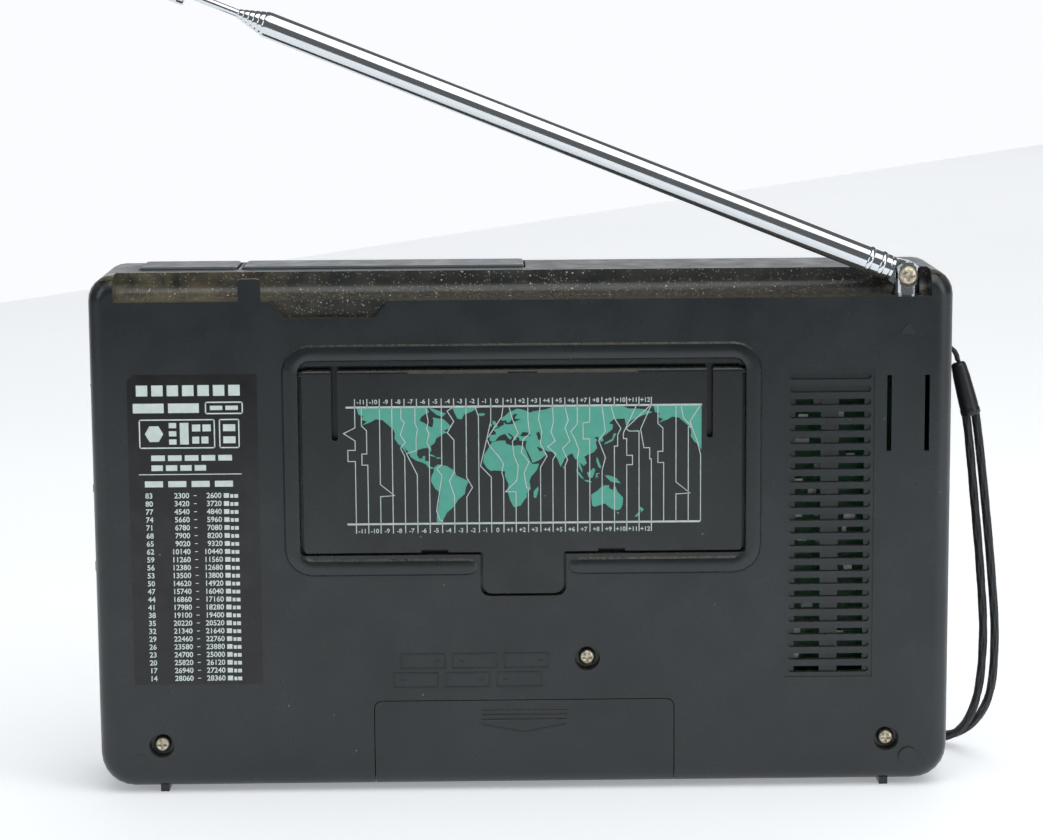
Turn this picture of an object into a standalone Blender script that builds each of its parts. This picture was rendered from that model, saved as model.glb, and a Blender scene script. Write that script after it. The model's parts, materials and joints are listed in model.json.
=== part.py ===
"""A slim portable shortwave receiver, modelled as the separate pieces it is assembled from.

Metres, +Z up. The front with the display and keys faces -Y, the back with the tilt stand
faces +Y. Sizes below are in millimetres. Heights are measured from the underside of the
case, which stands FOOT_HEIGHT above the table, where the world's origin is.
"""
import math

import bmesh
import bpy
from mathutils import Matrix, Vector

MM = 0.001

# The case: two shells that meet at the parting line, and a battery door.
HALF_WIDTH = 99.0
HEIGHT = 120.0
FRONT = -17.0
BACK = 17.0
PARTING = 7.35
SEAM = 0.15
WALL_FRONT = 2.0
WALL_BACK = 1.8
TOP_CORNER = 5.8
BOTTOM_CORNER = 8.0
FRONT_EDGE = 3.0
BACK_EDGE = 4.0
FOOT_HEIGHT = 1.4
FOOT_X = 84.2
PAD_X = 89.5

# The trough along the top of the back, which takes the folded antenna.
TROUGH = (-93.6, 93.0)
TROUGH_WALL = 8.7
TROUGH_FLOOR = 114.0
TROUGH_ROUND = 4.2

# The tilt stand, hinged along its top edge in a pocket with a raised rim.
STAND_HALF = 50.5
STAND_Z = (55.5, 98.2)
STAND_THICK = 2.2
STAND_Y = 15.9
HINGE_Z = 97.1
TAB_HALF = 9.3
TAB_Z = 45.7
POCKET_FLOOR = 14.3
RIM_HALF = 53.0
RIM_Z = (52.1, 102.0)
RIM_GAP = 10.0

# The vent grille behind the loudspeaker.
VENT_X = -70.7
VENT_WIDTH = 18.7
VENT_ROWS = 24
VENT_PITCH = 2.987
VENT_BOTTOM = 27.0
GROOVE = 1.5
SLOT_X = (-65.7, -75.7)
SLOT_WIDTH = 5.9

# The battery door and the six cells, three end to end and two deep.
DOOR_HALF = 34.75
DOOR_TOP = 20.3
DOOR_GAP = 0.2
CELL_RADIUS = 7.1
CELL_LENGTH = 50.2
CELL_PITCH = 50.7
CELL_ROWS = (-7.4, 7.6)
CELL_Z = 9.6

# The three case screws, in bosses of the cabinet.
SCREWS = ((84.4, 10.3), (-14.7, 30.2), (-84.4, 10.3))
SCREW_HOLE = 1.5
BOSS_RADIUS = 3.8
SCREW_SEAT = BACK - 2.1

# Controls on the side with the wheels (+X) and the side with the strap (-X).
PANEL_OUT = 100.2
PANEL_IN = 98.8
PANEL_FLOOR = 98.5
PANEL_Y = (-12.0, 5.0)
PANEL_Z = (8.6, 110.0)
WHEEL_RADIUS = 11.0
WHEEL_Y = (-6.5, -1.5)
WHEELS = {"tuning_wheel": (90.15, 92.5), "volume_wheel": (89.95, 28.0)}
SWITCHES = {"switch_upper": (68.1, 1.2, 1), "switch_lower": (49.4, 1.4, -1)}
SWITCH_TRAVEL = 3.5
JACKS = {"phones_jack": 76.0, "supply_jack": 58.0}
EYELET_Z = 100.6

# Keys, display and loudspeaker on the front.
DISPLAY = (3.0, 87.0, 81.0, 109.0)
KEY_PITCH = (15.0, 11.5)
KEY_ORIGIN = (48.0, 68.0)
SPEAKER = (-56.0, 62.0)
SPEAKER_RADIUS = 33.0
TOP_KEYS = {"light_button": (65.9, 88.3), "snooze_bar": (-0.8, 64.4)}
TOP_KEY_Y = (-12.0, 3.0)
KEY_GAP = 0.35

# The telescopic antenna. Distances along it are measured from the swing pivot.
PIVOT = (-88.4, 12.4, 118.5)
RAISED = math.radians(21.7)
TUBE_START = 4.6
TUBE_END = 157.3
TUBE_RADII = (3.0, 2.65, 2.3, 1.95, 1.6, 1.25)
TUBE_WALL = 0.25
CRIMP = 1.2
ROD_RADIUS = 0.9
ROD_PULLED = 12.0
POST_RADIUS = 3.15

# The wrist strap: a cord whose two ends return into one sleeve.
STRAP_RADIUS = 1.05


def tidy_scene():
    """Empty the scene and make the collections and the empty that carries the receiver."""
    for thing in list(bpy.data.objects):
        bpy.data.objects.remove(thing, do_unlink=True)
    parts = bpy.data.collections.new("shortwave_receiver")
    cutters = bpy.data.collections.new("cutters")
    bpy.context.scene.collection.children.link(parts)
    bpy.context.scene.collection.children.link(cutters)
    stand = bpy.data.objects.new("underside_of_case", None)
    stand.location.z = FOOT_HEIGHT * MM
    parts.objects.link(stand)
    return parts, cutters, stand


def finish(name, colour, roughness, metallic=0.0):
    """A Principled material in one colour."""
    made = bpy.data.materials.new(name)
    made.use_nodes = True
    shader = made.node_tree.nodes["Principled BSDF"]
    shader.inputs["Base Color"].default_value = (*colour, 1.0)
    shader.inputs["Roughness"].default_value = roughness
    shader.inputs["Metallic"].default_value = metallic
    return made


PARTS, CUTTERS, CASE = tidy_scene()

BLACK = finish("black_case", (0.035, 0.045, 0.048), 0.45)
GREY = finish("grey_case", (0.06, 0.065, 0.068), 0.4)
KEYCAP = finish("keycap", (0.12, 0.125, 0.13), 0.5)
CHROME = finish("chrome", (0.8, 0.8, 0.8), 0.12, 1.0)
NICKEL = finish("nickel", (0.62, 0.58, 0.5), 0.3, 1.0)
CORD = finish("cord", (0.012, 0.013, 0.014), 0.8)
WINDOW = finish("window", (0.05, 0.06, 0.055), 0.1)
LCD = finish("display", (0.3, 0.34, 0.28), 0.3)
BOARD = finish("circuit_board", (0.03, 0.16, 0.07), 0.5)
TIN = finish("tinplate", (0.6, 0.6, 0.6), 0.35, 1.0)
CONE = finish("speaker_cone", (0.05, 0.05, 0.05), 0.8)
FERRITE = finish("ferrite", (0.04, 0.04, 0.045), 0.6)
CELL = finish("cell_jacket", (0.1, 0.12, 0.2), 0.35)
JACK = finish("jack_plastic", (0.02, 0.02, 0.02), 0.35)


def box(mesh, low, high):
    """Add a box between two corners."""
    low, high = Vector(low), Vector(high)
    centre = Matrix.Translation((low + high) / 2)
    size = Matrix.Diagonal((*(high - low), 1.0))
    bmesh.ops.create_cube(mesh, size=1.0, matrix=centre @ size)


def edges_along(mesh, axis, test=None):
    """The edges parallel to an axis whose middle passes a test."""
    found = []
    for edge in mesh.edges:
        a, b = (vert.co for vert in edge.verts)
        along = (b - a).normalized()
        if abs(along[axis]) > 0.999 and (test is None or test((a + b) / 2)):
            found.append(edge)
    return found


def edges_at(mesh, axis, place):
    """The edges that lie in the plane where one coordinate has a given value."""
    return [e for e in mesh.edges if all(abs(v.co[axis] - place) < 1e-4 for v in e.verts)]


def round_off(mesh, edges, radius, segments):
    """Round some edges."""
    bmesh.ops.bevel(
        mesh, geom=edges, offset=radius, segments=segments, profile=0.5, affect="EDGES"
    )


def rounded_box(low, high, axis=None, radius=0.0, segments=4, edge=None):
    """A box whose edges along one axis are rounded; edge=(axis, place, radius, segments)."""
    mesh = bmesh.new()
    box(mesh, low, high)
    if axis is not None:
        round_off(mesh, edges_along(mesh, axis), radius, segments)
    if edge:
        along, place, size, steps = edge
        round_off(mesh, edges_at(mesh, along, place), size, steps)
    return mesh


def add_rod(mesh, start, end, radius, sides=16, end_radius=None):
    """Add a cylinder, or a cone, between two points."""
    start, end = Vector(start), Vector(end)
    axis = end - start
    turn = axis.to_track_quat("Z", "Y").to_matrix().to_4x4()
    place = Matrix.Translation((start + end) / 2) @ turn
    bmesh.ops.create_cone(
        mesh,
        cap_ends=True,
        segments=sides,
        radius1=radius,
        radius2=radius if end_radius is None else end_radius,
        depth=axis.length,
        matrix=place,
    )


def rods(*specs, sides=16):
    """A mesh of separate cylinders, each (start, end, radius)."""
    mesh = bmesh.new()
    for start, end, radius in specs:
        add_rod(mesh, start, end, radius, sides)
    return mesh


def screw_rods(low_y, high_y, radius, sides=16):
    """A cylinder on the line of each case screw, between two depths."""
    return rods(*(((x, low_y, z), (x, high_y, z), radius) for x, z in SCREWS), sides=sides)


def boxes(*specs):
    """A mesh of separate boxes, each (low, high)."""
    mesh = bmesh.new()
    for low, high in specs:
        box(mesh, low, high)
    return mesh


def publish(name, mesh, material=None, origin=(0.0, 0.0, 0.0)):
    """Make an object of a mesh in case millimetres; without a material it is a cutter."""
    origin = Vector(origin)
    bmesh.ops.translate(mesh, vec=-origin, verts=mesh.verts)
    bmesh.ops.scale(mesh, vec=(MM, MM, MM), verts=mesh.verts)
    bmesh.ops.recalc_face_normals(mesh, faces=mesh.faces)
    data = bpy.data.meshes.new(name)
    mesh.to_mesh(data)
    mesh.free()
    made = bpy.data.objects.new(name, data)
    made.location = origin * MM
    made.parent = CASE
    if material is None:
        CUTTERS.objects.link(made)
        made.hide_render = True
        made.display_type = "WIRE"
    else:
        PARTS.objects.link(made)
        data.materials.append(material)
        data.shade_smooth()
        data.set_sharp_from_angle(angle=math.radians(35.0))
    return made


def combine(target, mesh, operation):
    """Boolean a mesh into an object: DIFFERENCE, UNION or INTERSECT. Gives the tool made."""
    tool = publish(f"{target.name}_{len(target.modifiers)}_{operation.lower()}", mesh)
    step = target.modifiers.new(tool.name, "BOOLEAN")
    step.operation = operation
    step.solver = "EXACT"
    step.object = tool
    return tool


def cut(target, mesh):
    """Take a mesh's solid out of an object."""
    return combine(target, mesh, "DIFFERENCE")


def join(target, mesh):
    """Melt a mesh's solid into an object."""
    return combine(target, mesh, "UNION")


def turned(name, profile, material, sides=16, closed=False):
    """A turned object about its own Z: the profile is (radius, height), top to bottom."""
    data = bpy.data.meshes.new(name)
    count = len(profile)
    edges = [(i, i + 1) for i in range(count - 1)]
    if closed:
        edges.append((count - 1, 0))
    data.from_pydata([(r * MM, 0.0, z * MM) for r, z in profile], edges, [])
    data.materials.append(material)
    made = bpy.data.objects.new(name, data)
    made.parent = CASE
    PARTS.objects.link(made)
    screw = made.modifiers.new("turn", "SCREW")
    screw.axis = "Z"
    screw.steps = sides
    screw.render_steps = sides
    screw.use_merge_vertices = True
    screw.merge_threshold = 0.00001
    screw.use_smooth_shade = True
    return made


def outline_of_case(low_y, high_y, inset, round_face=None):
    """The case's outline as a solid between two depths, shrunk by an inset."""
    mesh = bmesh.new()
    box(mesh, (inset - HALF_WIDTH, low_y, inset), (HALF_WIDTH - inset, high_y, HEIGHT - inset))
    middle = HEIGHT / 2
    round_off(mesh, edges_along(mesh, 1, lambda p: p.z > middle), TOP_CORNER - inset * 0.6, 6)
    round_off(mesh, edges_along(mesh, 1, lambda p: p.z < middle), BOTTOM_CORNER - inset * 0.6, 6)
    if round_face:
        place, radius, segments = round_face
        round_off(mesh, edges_at(mesh, 1, place), radius, segments)
    return mesh


# ---------------------------------------------------------------- front cabinet


def front_keys():
    """Name, centre and half size of every key on the front."""
    keys = {}
    for digit in range(1, 10):
        column = (digit - 1) % 3
        row = (digit - 1) // 3
        centre = (KEY_ORIGIN[0] + column * KEY_PITCH[0], KEY_ORIGIN[1] - row * KEY_PITCH[1])
        keys[f"key_{digit}"] = (centre, (5.5, 3.4))
    keys["key_0"] = ((KEY_ORIGIN[0] + KEY_PITCH[0], KEY_ORIGIN[1] - 3 * KEY_PITCH[1]), (5.5, 3.4))
    keys["key_up"] = ((14.0, 65.0), (9.0, 4.6))
    keys["key_down"] = ((14.0, 49.0), (9.0, 4.6))
    keys["key_power"] = ((14.0, KEY_ORIGIN[1] - 3 * KEY_PITCH[1]), (6.5, 3.4))
    return keys


def make_front_cabinet():
    """The deep front shell, with its display, keys, grille and side openings."""
    cabinet = publish(
        "front_cabinet",
        outline_of_case(FRONT, PARTING - SEAM, 0.0, (FRONT, FRONT_EDGE, 4)),
        GREY,
    )
    cut(cabinet, outline_of_case(FRONT + WALL_FRONT, PARTING + 5.0, WALL_FRONT))
    join(cabinet, screw_rods(FRONT + 1.0, PARTING - SEAM, BOSS_RADIUS))
    cut(cabinet, screw_rods(-4.5, PARTING + 1.0, SCREW_HOLE))
    join(cabinet, foot_nubs(-16.4, -14.3, 1.8))
    cut(cabinet, display_seat())
    cut(cabinet, display_hole())
    cut(cabinet, key_openings())
    cut(cabinet, speaker_slots())
    cut(cabinet, panel_seats())
    cut(cabinet, side_holes(HALF_WIDTH - WALL_FRONT - 1.0, HALF_WIDTH + 2.0, 9.2))


def foot_nubs(low_y, high_y, top):
    """Two small feet under the case, between two depths."""
    mesh = bmesh.new()
    for side in (-1, 1):
        x = side * FOOT_X
        box(mesh, (x - 1.0, low_y, -FOOT_HEIGHT), (x + 1.0, high_y, top))
    return mesh


def display_seat():
    """The shallow seat for the display's pane."""
    left, right, bottom, top = DISPLAY
    return rounded_box((left, FRONT - 1.0, bottom), (right, FRONT + 1.4, top), 1, 2.0, 3)


def display_hole():
    """The smaller hole behind the pane's seat."""
    left, right, bottom, top = DISPLAY
    rim = 2.0
    low = (left + rim, FRONT + 1.0, bottom + rim)
    return boxes((low, (right - rim, FRONT + 3.0, top - rim)))


def key_openings():
    """A hole for every key in the front and in the top face."""
    mesh = bmesh.new()
    for (x, z), (half_x, half_z) in front_keys().values():
        reach_x, reach_z = half_x + KEY_GAP, half_z + KEY_GAP
        low = (x - reach_x, FRONT - 1.0, z - reach_z)
        box(mesh, low, (x + reach_x, FRONT + 3.0, z + reach_z))
    for left, right in TOP_KEYS.values():
        low = (left - KEY_GAP, TOP_KEY_Y[0] - KEY_GAP, HEIGHT - 3.0)
        box(mesh, low, (right + KEY_GAP, TOP_KEY_Y[1] + KEY_GAP, HEIGHT + 1.0))
    return mesh


def speaker_slots():
    """Level slots that fill a circle in front of the loudspeaker."""
    mesh = bmesh.new()
    radius = SPEAKER_RADIUS - 3.0
    for row in range(-6, 7):
        rise = row * 4.4
        half = math.sqrt(radius**2 - rise**2)
        centre = SPEAKER[1] + rise
        box(
            mesh,
            (SPEAKER[0] - half, FRONT - 1.0, centre - 1.0),
            (SPEAKER[0] + half, FRONT + 3.0, centre + 1.0),
        )
    return mesh


def panel_seats():
    """The shallow seats in the two sides for the trim panels."""
    mesh = bmesh.new()
    gap = 0.3
    for side in (-1, 1):
        xs = sorted((side * PANEL_FLOOR, side * (HALF_WIDTH + 2.0)))
        low = (xs[0], PANEL_Y[0] - gap, PANEL_Z[0] - gap)
        box(mesh, low, (xs[1], PANEL_Y[1] + gap, PANEL_Z[1] + gap))
    return mesh


def side_holes(inner, outer, wheel_half):
    """The wheel, switch, jack and eyelet holes between two distances from the middle."""
    mesh = bmesh.new()
    for _, height in WHEELS.values():
        low = (inner, WHEEL_Y[0] - 0.5, height - wheel_half)
        box(mesh, low, (outer, WHEEL_Y[1] + 0.5, height + wheel_half))
    for height, half, way in SWITCHES.values():
        reach = half + 0.4
        ends = sorted((height - way * reach, height + way * (reach + SWITCH_TRAVEL)))
        box(mesh, (inner, -7.4, ends[0]), (outer, -0.6, ends[1]))
    for height in JACKS.values():
        add_rod(mesh, (-inner, -4.0, height), (-outer, -4.0, height), 3.5)
    box(mesh, (-outer, -3.2, EYELET_Z - 3.2), (-inner, 3.2, EYELET_Z + 3.2))
    return mesh


def make_side_panels():
    """The two raised trim panels let into the sides of the cabinet."""
    for name, side in (("side_panel_right", 1), ("side_panel_left", -1)):
        xs = sorted((side * PANEL_IN, side * PANEL_OUT))
        low = (xs[0], PANEL_Y[0], PANEL_Z[0])
        high = (xs[1], PANEL_Y[1], PANEL_Z[1])
        edge = (0, side * PANEL_OUT, 0.5, 2)
        panel = publish(name, rounded_box(low, high, 0, 2.0, 3, edge), GREY)
        cut(panel, side_holes(PANEL_IN - 1.0, PANEL_OUT + 1.0, 7.2))
        if side < 0:
            x = -99.5
            bar = rods(((x, 0.0, EYELET_Z - 3.6), (x, 0.0, EYELET_Z + 3.6), 0.7), sides=8)
            join(panel, bar)


# ---------------------------------------------------------------- rear cover


def make_rear_cover():
    """The shallow rear shell with the antenna trough, stand pocket and vents."""
    inside = BACK - WALL_BACK
    start = PARTING + SEAM
    cover = publish("rear_cover", outline_of_case(start, BACK, 0.0, (BACK, BACK_EDGE, 4)), BLACK)
    cut(cover, outline_of_case(PARTING - 5.0, inside, WALL_BACK))
    join(cover, lip_plates())
    join(cover, lip_bridges())
    join(cover, cover_blocks(start, inside + 0.4))
    join(cover, guide_blocks(start, inside + 0.4))
    join(cover, rim_bead())
    cut(cover, trough_space())
    cut(cover, pocket_space(STAND_HALF + 0.8, STAND_Z[0] - 0.6, STAND_Z[1] + 0.9, 1.2))
    cut(cover, pocket_space(TAB_HALF + 0.6, TAB_Z - 0.6, STAND_Z[0] + 1.0, 2.0))
    cut(cover, cover_holes(inside))
    cut(cover, wide_holes())
    cut(cover, finger_notch())
    cut(cover, vent_recess())
    cut(cover, vent_grooves())
    cut(cover, vent_slots())
    join(cover, trough_details())
    reach = DOOR_HALF + DOOR_GAP
    opening = ((-reach, 4.0, -5.0), (reach, BACK + 1.0, DOOR_TOP + DOOR_GAP))
    cut(cover, rounded_box(*opening, 1, 1.8, 3))
    cut(cover, boxes(((-8.4, inside - 1.0, DOOR_TOP), (8.4, inside + 1.05, DOOR_TOP + 2.0))))


def lip_plates():
    """Two plates that reach into the cabinet and locate the cover."""
    return boxes(
        ((95.2, 5.5, 12.0), (96.6, PARTING + 3.0, 110.0)),
        ((-96.6, 5.5, 12.0), (-95.2, PARTING + 3.0, 110.0)),
    )


def lip_bridges():
    """The blocks that join the lip plates to the cover's side walls."""
    return boxes(
        ((96.0, PARTING + 0.8, 12.4), (98.0, PARTING + 2.6, 109.6)),
        ((-98.0, PARTING + 0.8, 12.4), (-96.0, PARTING + 2.6, 109.6)),
    )


def cover_blocks(start, deep):
    """Solid behind the trough and the stand pocket, and the three screw bosses."""
    mesh = screw_rods(start, deep, 4.2)
    box(mesh, (-95.8, start, 111.8), (95.8, deep, 119.0))
    half = STAND_HALF + 2.3
    box(mesh, (-half, POCKET_FLOOR - 1.3, TAB_Z - 2.0), (half, deep, 100.8))
    return mesh


def guide_blocks(start, deep):
    """The antenna post's guide and the thickening behind the finger notch."""
    return boxes(
        ((-93.4, start + 0.6, 100.5), (-83.4, deep, 112.2)),
        ((27.5, 12.6, 107.8), (59.5, deep, 112.2)),
    )


def rim_path():
    """Points along the middle of the rim round the stand, open at the tab."""
    corner = 4.5
    points = [(RIM_GAP + 0.6, RIM_Z[0]), (RIM_GAP + 1.4, RIM_Z[0]), (RIM_GAP + 3.0, RIM_Z[0])]
    centres = (
        (RIM_HALF - corner, RIM_Z[0] + corner, -90),
        (RIM_HALF - corner, RIM_Z[1] - corner, 0),
        (corner - RIM_HALF, RIM_Z[1] - corner, 90),
        (corner - RIM_HALF, RIM_Z[0] + corner, 180),
    )
    for x, z, start in centres:
        for step in range(5):
            angle = math.radians(start + 22.5 * step)
            points.append((x + corner * math.cos(angle), z + corner * math.sin(angle)))
    points.extend((-x, z) for x, z in reversed(points[:3]))
    return points


def rim_bead():
    """The raised bead round the stand: a flattened tube with tapered ends."""
    middle = BACK - 0.25
    width, height = 2.2, 1.15
    path = rim_path()
    curve = bpy.data.curves.new("rim", "CURVE")
    curve.dimensions = "3D"
    curve.bevel_depth = width
    curve.bevel_resolution = 2
    curve.use_fill_caps = True
    spline = curve.splines.new("POLY")
    spline.points.add(len(path) - 1)
    for point, (x, z) in zip(spline.points, path):
        point.co = (x, 0.0, z, 1.0)
    for index, share in ((0, 0.45), (1, 0.85), (-1, 0.45), (-2, 0.85)):
        spline.points[index].radius = share
    mesh = solid_of_curve(curve)
    for vert in mesh.verts:
        vert.co.y = middle + vert.co.y * height / width
    return mesh


def solid_of_curve(curve):
    """A closed mesh of a curve's tube, its caps welded on; the curve is removed."""
    guide = bpy.data.objects.new("guide", curve)
    PARTS.objects.link(guide)
    seen = guide.evaluated_get(bpy.context.evaluated_depsgraph_get())
    data = bpy.data.meshes.new_from_object(seen)
    mesh = bmesh.new()
    mesh.from_mesh(data)
    bmesh.ops.remove_doubles(mesh, verts=mesh.verts, dist=0.0001)
    bpy.data.meshes.remove(data)
    bpy.data.objects.remove(guide)
    bpy.data.curves.remove(curve)
    return mesh


def trough_space():
    """The space of the antenna trough, its inner floor edge hollowed like a gutter."""
    mesh = bmesh.new()
    box(mesh, (TROUGH[0], TROUGH_WALL, TROUGH_FLOOR), (TROUGH[1], BACK + 3.0, HEIGHT + 5.0))
    gutter = edges_along(mesh, 0, lambda p: p.z < TROUGH_FLOOR + 1.0 and p.y < TROUGH_WALL + 1.0)
    round_off(mesh, gutter, TROUGH_ROUND, 6)
    return mesh


def pocket_space(half, low, high, corner):
    """A pocket in the back for the stand or for its tab."""
    return rounded_box((-half, POCKET_FLOOR, low), (half, BACK + 2.0, high), 1, corner, 3)


def cover_holes(inside):
    """Screw counterbores, the guide's bore, the finger notch, hinge sockets and slits."""
    mesh = screw_rods(BACK - 2.4, BACK + 1.0, 2.95, 24)
    x, y, _ = PIVOT
    add_rod(mesh, (x, y, 104.0), (x, y, 122.0), POST_RADIUS + 0.3, 24)
    for side in (-1, 1):
        start = side * (STAND_HALF + 0.5)
        add_rod(mesh, (start, STAND_Y, HINGE_Z), (start + side * 1.6, STAND_Y, HINGE_Z), 1.05, 12)
    for x in (-84.2, -92.9):
        box(mesh, (x - 0.55, inside - 1.0, 78.2), (x + 0.55, BACK + 1.0, 95.9))
    return mesh


def wide_holes():
    """The screws' clearance holes and the stem's hole below the guide."""
    mesh = screw_rods(PARTING - 1.0, BACK - 2.0, SCREW_HOLE)
    x, y, _ = PIVOT
    add_rod(mesh, (x, y, 99.0), (x, y, 105.0), 1.6, 12)
    return mesh


def finger_notch():
    """The finger notch below the trough: a wedge with sloping ends, wider at its mouth."""
    mesh = bmesh.new()
    outline = ((33.5, 110.0), (54.2, 110.0), (60.0, 117.0), (27.8, 117.0))
    corners = []
    for y in (14.2, BACK + 1.0):
        corners.append([mesh.verts.new((x, y, z)) for x, z in outline])
    mesh.faces.new(corners[0])
    mesh.faces.new(list(reversed(corners[1])))
    for index in range(4):
        after = (index + 1) % 4
        near, far = corners
        mesh.faces.new((near[index], far[index], far[after], near[after]))
    bmesh.ops.recalc_face_normals(mesh, faces=mesh.faces)
    return mesh


def merge_into(mesh, other):
    """Copy one mesh into another and free it."""
    data = bpy.data.meshes.new("passing")
    other.to_mesh(data)
    mesh.from_mesh(data)
    bpy.data.meshes.remove(data)
    other.free()


def vent_recess():
    """The shallow rectangle in which the vent grooves lie."""
    half = VENT_WIDTH / 2 + 0.8
    top = VENT_BOTTOM + (VENT_ROWS - 1) * VENT_PITCH
    low = (VENT_X - half, BACK - 0.3, VENT_BOTTOM - 1.8)
    high = (VENT_X + half, BACK + 1.0, top + 1.8)
    return boxes((low, high))


def vent_grooves():
    """Level round-ended grooves, one for each row of the vent."""
    mesh = bmesh.new()
    half = VENT_WIDTH / 2
    for row in range(VENT_ROWS):
        z = VENT_BOTTOM + row * VENT_PITCH
        low = (VENT_X - half, BACK - 1.1, z - GROOVE / 2)
        high = (VENT_X + half, BACK + 1.0, z + GROOVE / 2)
        merge_into(mesh, rounded_box(low, high, 1, GROOVE * 0.42, 2))
    return mesh


def vent_slots():
    """Two through slots in every row of the vent but the top two."""
    mesh = bmesh.new()
    half, tall = SLOT_WIDTH / 2, 0.62
    for row in range(VENT_ROWS - 2):
        z = VENT_BOTTOM + row * VENT_PITCH
        for x in SLOT_X:
            box(mesh, (x - half, BACK - 3.0, z - tall), (x + half, BACK - 0.6, z + tall))
    return mesh


def trough_details():
    """The prong that holds the antenna, the rib in the trough, the pads and the feet."""
    mesh = rounded_box((59.4, BACK - 1.0, 111.5), (64.5, BACK - 0.01, 119.2), 1, 0.8, 2)
    low = (79.8, TROUGH_WALL - 0.6, TROUGH_FLOOR + 0.2)
    box(mesh, low, (82.0, TROUGH_WALL + 0.4, 119.4))
    merge_into(mesh, foot_nubs(9.0, 14.4, 1.0))
    for x, proud in ((PAD_X, 0.1), (-PAD_X, 0.6)):
        add_rod(mesh, (x, BACK - 1.0, 6.0), (x, BACK + proud, 6.0), 2.2)
    return mesh


def make_battery_door():
    """The door over the cells, bent round the back's lower edge, with grip ridges."""
    start = PARTING + SEAM + 0.3
    door = publish("battery_door", outline_of_case(start, BACK, 0.0, (BACK, BACK_EDGE, 4)), BLACK)
    cut(door, outline_of_case(PARTING - 5.0, BACK - WALL_BACK, WALL_BACK))
    span = rounded_box((-DOOR_HALF, 0.0, -5.0), (DOOR_HALF, BACK + 1.0, DOOR_TOP), 1, 1.6, 3)
    combine(door, span, "INTERSECT")
    ridges = bmesh.new()
    for z in (17.7, 16.6, 15.5):
        box(ridges, (-9.9, BACK - 0.5, z - 0.3), (9.9, BACK + 0.3, z + 0.3))
    join(door, ridges)
    inner = BACK - WALL_BACK
    catch = ((-8.0, inner + 0.05, DOOR_TOP - 2.0), (8.0, inner + 0.75, DOOR_TOP + 1.6))
    join(door, boxes(catch))


def make_tilt_stand():
    """The stand that carries the map: a plate with a round hinge edge and a finger tab."""
    low_y = STAND_Y - STAND_THICK / 2
    high_y = STAND_Y + STAND_THICK / 2
    bottom, top = STAND_Z
    plate = rounded_box((-STAND_HALF, low_y, bottom), (STAND_HALF, high_y, top), 1, 0.6, 1)
    stand = publish("tilt_stand", plate, BLACK, (0.0, STAND_Y, HINGE_Z))
    tab = rounded_box((-TAB_HALF, low_y, TAB_Z), (TAB_HALF, high_y, bottom + 3.0), 1, 2.0, 3)
    join(stand, tab)
    combine(stand, hinge_round(), "INTERSECT")
    pins = bmesh.new()
    slots = bmesh.new()
    for side in (-1, 1):
        start = (side * (STAND_HALF - 1.0), STAND_Y, HINGE_Z)
        add_rod(pins, start, (side * (STAND_HALF + 1.7), STAND_Y, HINGE_Z), 0.75, 12)
        low_x, high_x = sorted((side * 42.3, side * 43.7))
        low = (low_x, low_y - 2.0, 81.7)
        relief = rounded_box(low, (high_x, high_y + 2.0, top + 3.0), 1, 0.6, 2)
        merge_into(slots, relief)
        low_x, high_x = sorted((side * 17.3, side * 23.5))
        box(slots, (low_x, low_y - 2.0, bottom - 1.0), (high_x, high_y + 2.0, bottom + 0.7))
    join(stand, pins)
    cut(stand, slots)


def hinge_round():
    """A block as thick as the stand whose upper edge is round about the hinge line."""
    made = bmesh.new()
    radius = STAND_THICK / 2
    box(made, (-60.0, STAND_Y - radius, 40.0), (60.0, STAND_Y + radius, HINGE_Z + radius))
    round_off(made, edges_along(made, 0, lambda p: p.z > HINGE_Z), radius * 0.98, 4)
    return made


# ---------------------------------------------------------------- inside the case


def make_fasteners():
    """Three case screws with cross recesses."""
    head = [(0.0, 1.5), (1.1, 1.4), (1.75, 0.95), (2.0, 0.35), (2.0, 0.0)]
    shank = [(1.15, 0.0), (1.15, -17.0), (0.0, -18.0)]
    for index, (x, z) in enumerate(SCREWS, start=1):
        screw = turned(f"case_screw_{index}", head + shank, NICKEL, sides=16)
        screw.location = Vector((x, SCREW_SEAT, z)) * MM
        screw.rotation_euler = (math.radians(-90.0), 0.0, 0.0)
        add_cross(screw, (x, SCREW_SEAT + 1.5, z), 1.15, 0.3, 0.9)


def add_cross(target, top, reach, half, deep):
    """Cut a cross recess into a screw head that faces +Y."""
    x, y, z = top
    for long_x, long_z in ((reach, half), (half, reach)):
        low = (x - long_x, y - deep, z - long_z)
        high = (x + long_x, y + 1.0, z + long_z)
        cut(target, boxes((low, high)))


def make_cells():
    """Six round cells, three end to end in two layers, each a turned can with its nub."""
    radius, length = CELL_RADIUS, CELL_LENGTH
    profile = [(0.0, length), (2.6, length), (2.6, length - 1.0), (radius - 0.5, length - 1.0)]
    profile += [(radius, length - 1.5), (radius, 0.5), (radius - 0.5, 0.0), (0.0, 0.0)]
    number = 0
    for y in CELL_ROWS:
        for place in (-1, 0, 1):
            number += 1
            cell = turned(f"cell_{number}", profile, CELL, sides=16)
            facing = 1 if y < 0.0 else -1
            cell.location = Vector((place * CELL_PITCH - facing * length / 2, y, CELL_Z)) * MM
            cell.rotation_euler = (0.0, math.radians(90.0 * facing), 0.0)


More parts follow.
